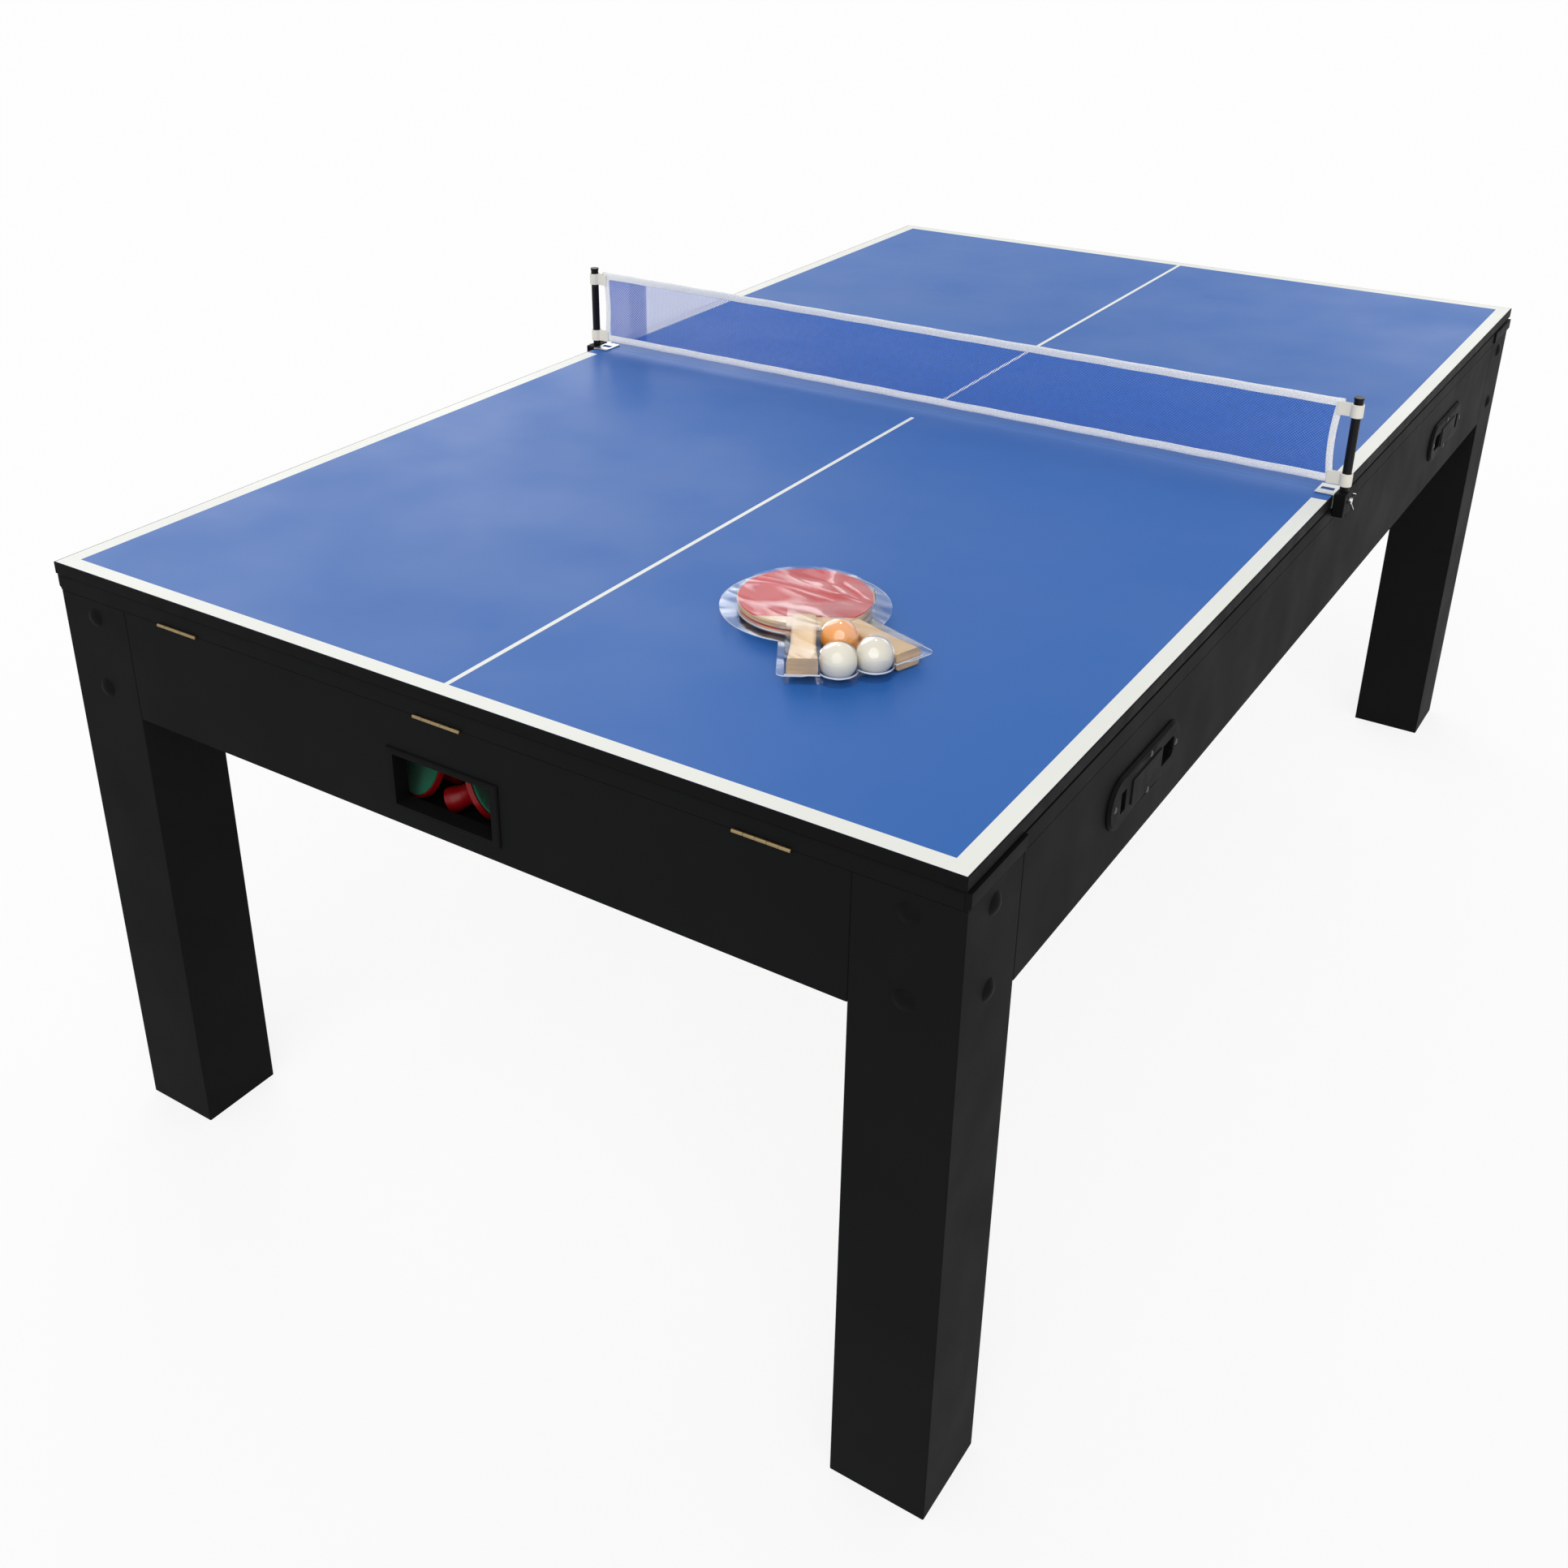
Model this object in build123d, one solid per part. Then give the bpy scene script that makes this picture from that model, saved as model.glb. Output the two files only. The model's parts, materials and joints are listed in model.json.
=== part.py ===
from build123d import *
import os
from math import asin, atan2, cos, degrees, radians, sin, sqrt, tan

# Multi game table in millimetres. X runs across the table, Y along it and Z up.
# The near end is at -Y, and the origin is on the floor under the middle of the table.

# Overall sizes
table_length = 2170.0
table_width = 1220.0
table_height = 815.0
edge_break = 1.0
overrun = 20.0
place_tolerance = 0.1

# Cabinet: legs and aprons
leg_side = 115.0
leg_wall = 12.0
leg_floor = 15.0
apron_height = 144.5
panel_thickness = 18.0
board_end_overhang = 4.0

# Corner cleats, leg bolts and their covers
cleat_thickness = 25.0
cleat_reach_past_leg = 40.0
cleat_foot_height = 8.0
cleat_top_drop = 6.5
bolt_inset = 57.5
upper_bolt_drop = 23.0
lower_bolt_rise = 26.5
bolt_radius = 4.0
bolt_head_radius = 8.0
bolt_head_height = 4.5
bolt_tip_cover = 5.0
bolt_clearance = 0.25
bolt_bore_radius = 8.5
bolt_bore_depth = 7.0
cover_radius = 12.5
cover_height = 4.5
cover_spigot_radius = 8.2

# Rink inside the cabinet
cross_rail_shares = (-1.0, -0.5, 0.0, 0.5, 1.0)
cross_rail_width = 60.0
cross_rail_height = 18.0
cross_rail_foot_height = 2.0
rink_bed_thickness = 12.0
rink_bed_side_gap = 2.0
rink_wall_thickness = 15.0
rink_wall_height = 60.0
rink_side_gap = 129.0
goal_width = 240.0
goal_height = 26.0

# Goal trays behind the end aprons
tray_depth = 127.0
tray_width = 300.0
tray_wall = 3.0
tray_rise = 3.0
tray_side_height = 55.0
tray_lip_height = 12.0

# Return window in the near apron
window_width = 136.0
window_height = 61.7
window_sill = 26.3
bezel_side_border = 10.0
bezel_end_border = 7.2
bezel_proud = 3.0
bezel_sleeve = 3.0
bezel_bevel = 1.5

# Slotted plates on the right apron
plate_length = 200.0
plate_height = 62.0
plate_proud = 5.0
plate_slope_angle = 45.0
plate_bevel = 3.0
plate_from_corner = 421.5
plate_drop = 68.0
slot_height = 25.0
wide_slot_width = 33.0
wide_slot_offset = 62.0
wide_slot_round = 6.0
narrow_slot_width = 13.0
narrow_slot_offset = 64.5
slot_clearance = 1.0
boss_length = 82.0
boss_height = 30.0
boss_proud = 1.5
boss_offset = 2.0
plate_screw_radius = 1.6
plate_screw_head = 3.6
plate_screw_rise = 1.2
plate_screw_length = 14.0
plate_screw_clearance = 0.1
plate_screw_end_offset = 86.0
plate_screw_side_offset = 22.0
plate_screw_shift = 8.0

# Play deck: rails, bed, cloth, cushions and pockets
seam_gap = 0.5
rail_cap_thickness = 20.0
rail_width = 110.0
rail_foot_width = 60.0
rail_foot_height = 17.0
bed_thickness = 15.0
cloth_thickness = 0.8
cloth_gap = 0.3
cushion_depth = 38.0
cushion_top = 34.0
cushion_nose_top = 32.0
cushion_nose_low = 28.0
cushion_foot = 3.0
cushion_undercut = 4.0
cushion_mouth_slope = 26.0
pocket_radius = 38.0
pocket_wall = 2.0
pocket_clearance = 0.3
pocket_depth = 62.0
pocket_rim = 3.0
pocket_rim_thickness = 2.0
corner_pocket_set_back = 8.0
side_pocket_set_back = 14.0
joist_width = 40.0
joist_height = 20.0
joist_end_gap = 18.0
joist_count = 5
joist_run_share = 0.72

# Hinges between the deck and the near apron
hinge_length = 65.0
hinge_from_side = 210.0
hinge_barrel_radius = 2.2
hinge_barrel_set_out = 1.5
hinge_leaf_thickness = 1.2
hinge_leaf_reach = 14.0
hinge_leaf_gap = 0.2
hinge_pin_radius = 1.1
hinge_pin_clearance = 0.05
hinge_knuckle_count = 5
hinge_knuckle_gap = 0.3
hinge_relief = 0.4

# Corner caps of the deck
cap_height = 18.0
cap_thickness = 7.0
cap_rebate = 4.0
cap_flange_width = 26.0
cap_flange_thickness = 2.0
cap_bevel = 2.5

# Table tennis top
board_thickness = 15.0
half_joint_gap = 0.6
band_thickness = 1.5
pad_height = 3.0
pad_radius = 12.0
pad_from_edge = 50.0
dowel_radius = 4.0
dowel_length = 40.0
dowel_clearance = 0.1
dowel_from_side = 190.0

# Net, posts and clamps
net_height = 126.5
net_foot_height = 11.0
net_end_gap = 8.0
net_bow = 5.5
tape_width = 11.0
tape_thickness = 1.6
side_tape_width = 9.0
mesh_thickness = 0.8
mesh_columns = 40
mesh_rows = 4
mesh_strand = 4.0
post_radius = 6.0
post_set_out = 8.5
post_height = 128.0
post_cap_height = 3.0
post_cap_lip = 0.6
sleeve_wall = 2.0
sleeve_clearance = 0.15
sleeve_height = 17.5
sleeve_leaf_thickness = 1.2
sleeve_leaf_gap = 0.3
sleeve_grip = 8.5
upper_sleeve_drop = 6.0
lower_sleeve_rise = 10.2
jaw_thickness = 2.0
jaw_reach = 25.0
jaw_width = 38.0
jaw_slot_width = 10.0
jaw_slot_inset = 4.0
jaw_under_gap = 0.5
clamp_body_width = 15.0
clamp_body_drop = 28.0
clamp_body_rise = 3.0
clamp_body_gap = 1.0
clamp_web = 2.0

# Wing screws and their pads
screw_radius = 3.0
screw_clearance = 0.1
screw_drop = 9.0
lock_pad_thickness = 1.0
lock_pad_gap = 0.1
screw_stand_out = 4.5
screw_hub_radius = 4.6
screw_hub_length = 4.0
wing_span = 22.0
wing_length = 8.0
wing_thickness = 2.0

# Racket and ball pack on the near right quarter
pack_from_right = 388.6
pack_from_near_end = 373.6
pack_turn = -39.6
racket_splay = 20.4
blade_radius = 77.0
blade_thickness = 5.0
rubber_thickness = 1.2
rubber_inset = 1.0
rubber_cut_back = 52.0
scale_start = 56.0
scale_round = 6.0
handle_length = 91.0
handle_gap = 1.0
handle_width = 27.0
handle_end_width = 33.0
handle_thickness = 20.0
handle_round = 5.0
handle_waist_share = 0.55
ball_radius = 20.0
pack_gap = 0.3
ball_row_reach = 160.4
front_ball_reach = 110.0
blister_wall = 0.6
blister_fit = 0.7
blister_rise = 1.0
blister_flange_level = 11.0
blister_flange = 20.0
left_handle_flange = 9.5
right_handle_flange = 16.0
blister_end_flange = 4.0
blister_corner_round = 8.0
blister_end_gap = 2.0
blister_lobe_half_width = 17.8

# Pushers kept in the near tray
pusher_radius = 38.0
pusher_rim = 6.0
pusher_waist_radius = 12.0
pusher_waist_height = 34.0
pusher_flare_share = 0.333
pusher_knob_radius = 15.0
pusher_height = 52.0
pusher_felt = 2.5
pusher_felt_inset = 3.0
pusher_rest_gap = 0.3
left_pusher_x = -83.0
left_pusher_back = 36.0
left_pusher_heading = 67.0
right_pusher_x = 12.0
right_pusher_back = 44.0
right_pusher_heading = 205.0

# Levels and half sizes that follow from the sizes above
half_width = table_width / 2
half_board = table_length / 2
half_cabinet = half_board - board_end_overhang
board_top = table_height
board_bottom = board_top - board_thickness
rail_top = board_bottom - pad_height
rail_bottom = rail_top - rail_cap_thickness
apron_top = rail_bottom - seam_gap
apron_bottom = apron_top - apron_height
inner_x = half_width - panel_thickness
inner_y = half_cabinet - panel_thickness
rail_inner_x = half_width - rail_width
rail_inner_y = half_cabinet - rail_width
foot_outer_x = rail_inner_x + rail_foot_width
foot_outer_y = rail_inner_y + rail_foot_width
bed_top = rail_bottom - rail_foot_height
bed_bottom = bed_top - bed_thickness
upper_bolt_z = apron_top - upper_bolt_drop
lower_bolt_z = apron_bottom + lower_bolt_rise
cross_rail_bottom = apron_bottom + cross_rail_foot_height
rink_floor = cross_rail_bottom + cross_rail_height + rink_bed_thickness
tray_bottom = apron_bottom + tray_rise
tray_floor = tray_bottom + tray_wall
rink_wall_outer_x = inner_x - rink_side_gap
rink_wall_outer_y = inner_y - tray_depth
rink_half_width = rink_wall_outer_x - rink_wall_thickness
rink_half_length = rink_wall_outer_y - rink_wall_thickness
plate_from_middle = half_cabinet - plate_from_corner
joist_half_length = rink_half_width - joist_end_gap
hinge_spread = half_width - hinge_from_side
dowel_spread = half_width - dowel_from_side
net_half_length = half_width - net_end_gap
window_low = apron_bottom + window_sill
plate_z = apron_top - plate_drop
hinge_y = -half_cabinet - hinge_barrel_set_out
hinge_z = (apron_top + rail_bottom) / 2
post_x = half_width + post_set_out
clamp_inner_x = half_width + clamp_body_gap
clamp_outer_x = clamp_inner_x + clamp_body_width
clamp_low = board_top - clamp_body_drop
screw_z = board_top - screw_drop
post_top = board_top + post_height
handle_start = blade_radius + handle_gap
handle_end = handle_start + handle_length
lower_racket_z = blister_wall + pack_gap + handle_thickness / 2
upper_racket_z = lower_racket_z + blade_thickness + 2 * rubber_thickness + pack_gap
blade_cover_top = upper_racket_z + blade_thickness / 2 + rubber_thickness + blister_rise
lower_lobe_top = lower_racket_z + handle_thickness / 2 + blister_rise
upper_lobe_top = upper_racket_z + handle_thickness / 2 + blister_rise
blister_end_reach = handle_end + blister_end_gap
pack_x = half_width - pack_from_right
pack_y = -half_board + pack_from_near_end


def block(corner_a, corner_b):
    """Box between two opposite corners."""
    low = [min(a, b) for a, b in zip(corner_a, corner_b)]
    high = [max(a, b) for a, b in zip(corner_a, corner_b)]
    size = [b - a for a, b in zip(low, high)]
    middle = [(a + b) / 2 for a, b in zip(low, high)]
    return Pos(*middle) * Box(*size)


def rod(start, direction, length, radius):
    """Cylinder that starts at a point and runs along a direction."""
    plane = Plane(origin=start, z_dir=direction)
    return extrude(plane * Circle(radius), length)


def dome(seat, direction, radius, height):
    """Low round dome whose flat side lies on the seat."""
    round_radius = (radius ** 2 + height ** 2) / (2 * height)
    half_turn = asin(radius / round_radius) / 2
    middle = (round_radius * sin(half_turn), round_radius * (cos(half_turn) - 1) + height)
    arc = ThreePointArc((radius, 0), middle, (0, height))
    section = make_face(Curve() + [arc, Polyline((0, height), (0, 0), (radius, 0))])
    return Plane(origin=seat, z_dir=direction) * revolve(Plane.XZ * section, Axis.Z)


def prism(points, low, high):
    """Upright prism over a closed outline of (x, y) points."""
    outline = make_face(Polyline(*points, close=True))
    return extrude(Pos(0, 0, low) * outline, high - low)


def group(solids):
    """Separate solids kept together in one node."""
    return Compound(children=[solid for item in solids for solid in item.solids()])


def corner_signs():
    """Signs of X and Y for the four corners."""
    return [(sx, sy) for sx in (-1, 1) for sy in (-1, 1)]


def vertical_edges_at(part, places):
    """Upright edges of a part that stand over any of the (x, y) places."""
    found = []
    for edge in part.edges().filter_by(Axis.Z):
        middle = edge.center()
        for x, y in places:
            if abs(middle.X - x) < place_tolerance and abs(middle.Y - y) < place_tolerance:
                found.append(edge)
    return found


# Cabinet

def leg_bolt_seats(sx, sy):
    """Face point and inward direction of the four bolts of one leg."""
    seats = []
    for z in (upper_bolt_z, lower_bolt_z):
        seats.append(((sx * half_width, sy * (half_cabinet - bolt_inset), z), (-sx, 0, 0)))
        seats.append(((sx * (half_width - bolt_inset), sy * half_cabinet, z), (0, -sy, 0)))
    return seats


def leg(sx, sy):
    """Hollow box leg whose two outer faces run on up to the seam."""
    outer = (sx * half_width, sy * half_cabinet)
    inner = (sx * (half_width - leg_side), sy * (half_cabinet - leg_side))
    hollow_outer = (outer[0] - sx * leg_wall, outer[1] - sy * leg_wall, leg_floor)
    hollow_inner = (inner[0] + sx * leg_wall, inner[1] + sy * leg_wall, apron_bottom)
    body = block((*outer, 0), (*inner, apron_bottom)) - block(hollow_outer, hollow_inner)
    cheek_x = block((*outer, apron_bottom), (sx * inner_x, inner[1], apron_top))
    cheek_y = block((*outer, apron_bottom), (inner[0], sy * inner_y, apron_top))
    body = body + cheek_x + cheek_y
    arrises = [outer, (outer[0], inner[1]), (inner[0], outer[1])]
    body = chamfer(vertical_edges_at(body, arrises), edge_break)
    for seat, inward in leg_bolt_seats(sx, sy):
        body = body - rod(seat, inward, panel_thickness + overrun, bolt_radius + bolt_clearance)
        body = body - rod(seat, inward, bolt_bore_depth, bolt_bore_radius)
    return body


def corner_cleat(sx, sy):
    """Angled block behind the leg's cheeks that ties them to the aprons."""
    corner = (sx * inner_x, sy * inner_y)
    end_x = sx * (half_width - leg_side - cleat_reach_past_leg)
    end_y = sy * (half_cabinet - leg_side - cleat_reach_past_leg)
    low = apron_bottom + cleat_foot_height
    high = apron_top - cleat_top_drop
    arm_x = block((*corner, low), (end_x, sy * (inner_y - cleat_thickness), high))
    arm_y = block((*corner, low), (sx * (inner_x - cleat_thickness), end_y, high))
    body = arm_x + arm_y
    for seat, inward in leg_bolt_seats(sx, sy):
        depth = panel_thickness + cleat_thickness - bolt_tip_cover + bolt_clearance
        body = body - rod(seat, inward, depth, bolt_radius + bolt_clearance)
    return body


def leg_bolt(seat, inward):
    """Headed bolt that lies at the bottom of its counterbore."""
    way = Vector(*inward)
    head_start = Vector(*seat) + way * (bolt_bore_depth - bolt_head_height)
    length = panel_thickness + cleat_thickness - bolt_tip_cover
    shank = rod(seat, inward, length, bolt_radius)
    head = rod(head_start, inward, bolt_head_height, bolt_head_radius)
    outside = rod(seat, inward, bolt_bore_depth - bolt_head_height, bolt_head_radius)
    return shank - outside + head


def bolt_cover(seat, inward):
    """Domed cover with a spigot that plugs the counterbore."""
    outward = tuple(-share for share in inward)
    spigot_length = bolt_bore_depth - bolt_head_height - bolt_clearance
    spigot = rod(seat, inward, spigot_length, cover_spigot_radius)
    return dome(seat, outward, cover_radius, cover_height) + spigot


def all_bolt_seats():
    """Bolt seats of the four legs."""
    return [seat for sx, sy in corner_signs() for seat in leg_bolt_seats(sx, sy)]


def end_apron(sy):
    """Panel between the legs at one end."""
    reach = half_width - leg_side
    body = block((-reach, sy * half_cabinet, apron_bottom), (reach, sy * inner_y, apron_top))
    corners = [(-reach, sy * half_cabinet), (reach, sy * half_cabinet)]
    return chamfer(vertical_edges_at(body, corners), edge_break)


def hinge_centres():
    """Places of the hinges across the near end."""
    return [-hinge_spread, 0, hinge_spread]


def barrel_relief(centre_x):
    """Space that a hinge barrel turns in."""
    start = (centre_x - hinge_length / 2 - hinge_relief, hinge_y, hinge_z)
    return rod(start, (1, 0, 0), hinge_length + 2 * hinge_relief, hinge_barrel_radius + hinge_relief)


def leaf_plate(centre_x, side):
    """Flat of a hinge leaf; side is 1 for the upper leaf and -1 for the lower."""
    near_y = hinge_y + hinge_barrel_radius + hinge_relief
    far_y = -half_cabinet + hinge_leaf_reach
    low = hinge_z + side * hinge_leaf_gap
    high = low + side * hinge_leaf_thickness
    start = (centre_x - hinge_length / 2, near_y, low)
    return block(start, (centre_x + hinge_length / 2, far_y, high))


def leaf_recess(centre_x, side):
    """Shallow seat of a hinge leaf, open toward the barrel."""
    low = hinge_z + side * hinge_leaf_gap
    end = (centre_x + hinge_length / 2, -half_cabinet + hinge_leaf_reach, hinge_z - side * hinge_leaf_gap)
    return block((centre_x - hinge_length / 2, hinge_y, low + side * hinge_leaf_thickness), end)


def hinge_leaf(centre_x, side):
    """Leaf with its own share of the knuckles."""
    body = leaf_plate(centre_x, side)
    pitch = hinge_length / hinge_knuckle_count
    low = hinge_z + side * hinge_leaf_gap
    for index in range(hinge_knuckle_count):
        if (index % 2 == 0) == (side > 0):
            continue
        start_x = centre_x - hinge_length / 2 + index * pitch + hinge_knuckle_gap / 2
        width = pitch - hinge_knuckle_gap
        knuckle = rod((start_x, hinge_y, hinge_z), (1, 0, 0), width, hinge_barrel_radius)
        tongue_end = hinge_y + hinge_barrel_radius + hinge_relief
        tongue_high = low + side * hinge_leaf_thickness
        tongue = block((start_x, hinge_y, low), (start_x + width, tongue_end, tongue_high))
        body = body + knuckle + tongue
    start = (centre_x - hinge_length / 2, hinge_y, hinge_z)
    return body - rod(start, (1, 0, 0), hinge_length, hinge_pin_radius + hinge_pin_clearance)


def hinge_pin(centre_x):
    """Pin that runs the length of a hinge."""
    return rod((centre_x - hinge_length / 2, hinge_y, hinge_z), (1, 0, 0), hinge_length, hinge_pin_radius)


def near_apron():
    """Near end apron with the return window and the hinge recesses."""
    body = end_apron(-1)
    half_cut = window_width / 2 + bezel_sleeve
    cut_low = window_low - bezel_sleeve
    cut_high = window_low + window_height + bezel_sleeve
    outside_y = -half_cabinet - overrun
    body = body - block((-half_cut, outside_y, cut_low), (half_cut, -inner_y + overrun, cut_high))
    for centre_x in hinge_centres():
        body = body - leaf_recess(centre_x, -1) - barrel_relief(centre_x)
    return body


def side_apron(sx):
    """Long panel between the legs."""
    reach = half_cabinet - leg_side
    body = block((sx * half_width, -reach, apron_bottom), (sx * inner_x, reach, apron_top))
    corners = [(sx * half_width, -reach), (sx * half_width, reach)]
    return chamfer(vertical_edges_at(body, corners), edge_break)


def plate_places():
    """Y place of each slotted plate, and the way to the middle of the table."""
    return [(-plate_from_middle, 1), (plate_from_middle, -1)]


def slot_cutter(centre_y, way, grow):
    """Both slots of a plate as solids that run through plate and apron."""
    wide = Rectangle(wide_slot_width + 2 * grow, slot_height + 2 * grow)
    wide = fillet(wide.vertices().sort_by(Axis.X)[-2:], wide_slot_round)
    wide = Pos(wide_slot_offset, 0) * wide
    narrow = Pos(-narrow_slot_offset, 0) * Rectangle(narrow_slot_width + 2 * grow, slot_height + 2 * grow)
    start_x = half_width - panel_thickness - overrun
    plane = Plane(origin=(start_x, centre_y, plate_z), x_dir=(0, way, 0), z_dir=(1, 0, 0))
    return extrude(plane * (wide + narrow), panel_thickness + plate_proud + 2 * overrun)


def plate_screw_places(centre_y, way):
    """Places of a plate's four screws on the apron's face."""
    ends = [(-plate_screw_end_offset, 0), (plate_screw_end_offset, 0)]
    sides = [(plate_screw_shift, -plate_screw_side_offset), (plate_screw_shift, plate_screw_side_offset)]
    return [(half_width, centre_y + way * along, plate_z + up) for along, up in ends + sides]


def plate_apron():
    """Right apron, cut through behind the slots of its two plates."""
    body = side_apron(1)
    for centre_y, way in plate_places():
        body = body - slot_cutter(centre_y, way, slot_clearance)
        for place in plate_screw_places(centre_y, way):
            depth = plate_screw_length - plate_proud + plate_screw_clearance
            body = body - rod(place, (-1, 0, 0), depth, plate_screw_radius + plate_screw_clearance)
    return body


def side_plate(centre_y, way):
    """Moulded oval plate with a wide slot, a narrow slot and a raised boss between them."""
    plane = Plane(origin=(half_width, centre_y, plate_z), x_dir=(0, way, 0), z_dir=(1, 0, 0))
    oval = SlotOverall(plate_length, plate_height)
    foot = extrude(plane * oval, plate_proud - plate_bevel)
    rim_plane = plane.offset(plate_proud - plate_bevel)
    slope = extrude(rim_plane * oval, plate_bevel, taper=plate_slope_angle)
    boss_plane = plane.offset(plate_proud)
    boss = Pos(-boss_offset, 0) * Rectangle(boss_length, boss_height)
    body = foot + slope + extrude(boss_plane * boss, boss_proud)
    body = body - slot_cutter(centre_y, way, 0)
    hole_radius = plate_screw_radius + plate_screw_clearance
    for place in plate_screw_places(centre_y, way):
        body = body - rod(place, (1, 0, 0), plate_proud + overrun, hole_radius)
    return body


def plate_screw(place):
    """Round headed screw of a plate."""
    head_x = place[0] + plate_proud
    shank = rod((head_x, *place[1:]), (-1, 0, 0), plate_screw_length, plate_screw_radius)
    return shank + dome((head_x, *place[1:]), (1, 0, 0), plate_screw_head, plate_screw_rise)


def return_bezel():
    """Raised frame with a sleeve that lines the window."""
    middle_z = window_low + window_height / 2
    face = Plane(origin=(0, -half_cabinet, middle_z), x_dir=(1, 0, 0), z_dir=(0, -1, 0))
    outer_width = window_width + 2 * bezel_side_border
    outer_height = window_height + 2 * bezel_end_border
    flange = extrude(face * Rectangle(outer_width, outer_height), bezel_proud)
    flange = chamfer(flange.faces().sort_by(Axis.Y)[0].edges(), bezel_bevel)
    sleeve_sketch = Rectangle(window_width + 2 * bezel_sleeve, window_height + 2 * bezel_sleeve)
    sleeve = extrude(face * sleeve_sketch, -panel_thickness)
    opening = extrude(face.offset(-panel_thickness - overrun) * Rectangle(window_width, window_height),
                      panel_thickness + bezel_proud + 2 * overrun)
    return flange + sleeve - opening


# Rink and trays

def cross_rail_places():
    """Y places of the cross rails, evenly spaced between the corner cleats."""
    clear = half_cabinet - leg_side - cleat_reach_past_leg - cross_rail_width
    return [clear * share for share in cross_rail_shares]


def cross_rail(centre_y):
    """Slat between the long aprons that carries the rink bed."""
    low = (-inner_x, centre_y - cross_rail_width / 2, cross_rail_bottom)
    high = (inner_x, centre_y + cross_rail_width / 2, cross_rail_bottom + cross_rail_height)
    return block(low, high)


def rink_bed():
    """Playing surface of the rink."""
    reach_x = inner_x - cleat_thickness - rink_bed_side_gap
    low = (-reach_x, -rink_wall_outer_y, rink_floor - rink_bed_thickness)
    return block(low, (reach_x, rink_wall_outer_y, rink_floor))


def rink_side_wall(sx):
    """Side wall of the rink."""
    low = (sx * rink_half_width, -rink_wall_outer_y, rink_floor)
    return block(low, (sx * rink_wall_outer_x, rink_wall_outer_y, rink_floor + rink_wall_height))


def rink_end_wall(sy):
    """End wall of the rink with its goal mouth."""
    low = (-rink_half_width, sy * rink_half_length, rink_floor)
    wall = block(low, (rink_half_width, sy * rink_wall_outer_y, rink_floor + rink_wall_height))
    half_goal = goal_width / 2
    inside_y = sy * (rink_half_length - overrun)
    goal = block((-half_goal, inside_y, rink_floor - overrun),
                 (half_goal, sy * (rink_wall_outer_y + overrun), rink_floor + goal_height))
    return wall - goal


def goal_tray(sy):
    """Moulded tray between the end wall of the rink and the end apron."""
    front = sy * inner_y
    back = sy * rink_wall_outer_y
    half_tray = tray_width / 2
    floor_plate = block((-half_tray, front, tray_bottom), (half_tray, back, tray_floor))
    side_top = tray_bottom + tray_side_height
    body = floor_plate
    for sx in (-1, 1):
        side = block((sx * half_tray, front, tray_bottom), (sx * (half_tray - tray_wall), back, side_top))
        body = body + side
    lip_end = (half_tray, front - sy * tray_wall, tray_bottom + tray_lip_height)
    lip = block((-half_tray, front, tray_bottom), lip_end)
    return body + lip


# Play deck

def pocket_places():
    """Centre of each pocket."""
    corner_x = rail_inner_x + corner_pocket_set_back
    corner_y = rail_inner_y + corner_pocket_set_back
    corners = [(sx * corner_x, sy * corner_y) for sx, sy in corner_signs()]
    sides = [(sx * (rail_inner_x + side_pocket_set_back), 0) for sx in (-1, 1)]
    return corners, sides


def pocket_cutter(low, high):
    """Round holes for all six pockets."""
    corners, sides = pocket_places()
    radius = pocket_radius + pocket_clearance
    return [rod((x, y, low), (0, 0, 1), high - low, radius) for x, y in corners + sides]


def rim_cutter():
    """Shallow seats for the rims of the pockets."""
    corners, sides = pocket_places()
    radius = pocket_radius + pocket_rim + pocket_clearance
    low = rail_top - pocket_rim_thickness
    return [rod((x, y, low), (0, 0, 1), overrun, radius) for x, y in corners + sides]


def rail(near, far, reach, along_x, sign):
    """Mitred rail with a foot that stands on the bed."""
    def outline(outer, outer_reach, inner, inner_reach):
        points = [(-outer_reach, sign * outer), (outer_reach, sign * outer),
                  (inner_reach, sign * inner), (-inner_reach, sign * inner)]
        return points if along_x else [(y, x) for x, y in points]
    cap = prism(outline(far, reach, near, reach - rail_width), rail_bottom, rail_top)
    foot_far = near + rail_foot_width
    foot_reach = reach - rail_width + rail_foot_width
    foot = prism(outline(foot_far, foot_reach, near, reach - rail_width), bed_top, rail_bottom)
    body = cap + foot
    for cutter in pocket_cutter(bed_top - overrun, rail_top + overrun) + rim_cutter():
        body = body - cutter
    for sx, sy in corner_signs():
        body = body - corner_cap_form(sx, sy)
    return body


def end_rail(sy):
    """Rail across one end of the deck."""
    body = rail(rail_inner_y, half_cabinet, half_width, True, sy)
    if sy < 0:
        for centre_x in hinge_centres():
            body = body - leaf_recess(centre_x, 1) - barrel_relief(centre_x)
    return body


def side_rail(sx):
    """Rail along one side of the deck."""
    return rail(rail_inner_x, half_width, half_cabinet, False, sx)


def pool_bed():
    """Board under the rails with holes for the pockets."""
    body = block((-foot_outer_x, -foot_outer_y, bed_bottom), (foot_outer_x, foot_outer_y, bed_top))
    for cutter in pocket_cutter(bed_bottom - overrun, bed_top + overrun):
        body = body - cutter
    return body


def bed_cloth():
    """Cloth on the bed inside the rails."""
    reach_x = rail_inner_x - cloth_gap
    reach_y = rail_inner_y - cloth_gap
    body = block((-reach_x, -reach_y, bed_top), (reach_x, reach_y, bed_top + cloth_thickness))
    for cutter in pocket_cutter(bed_top - overrun, bed_top + overrun):
        body = body - cutter
    return body


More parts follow.
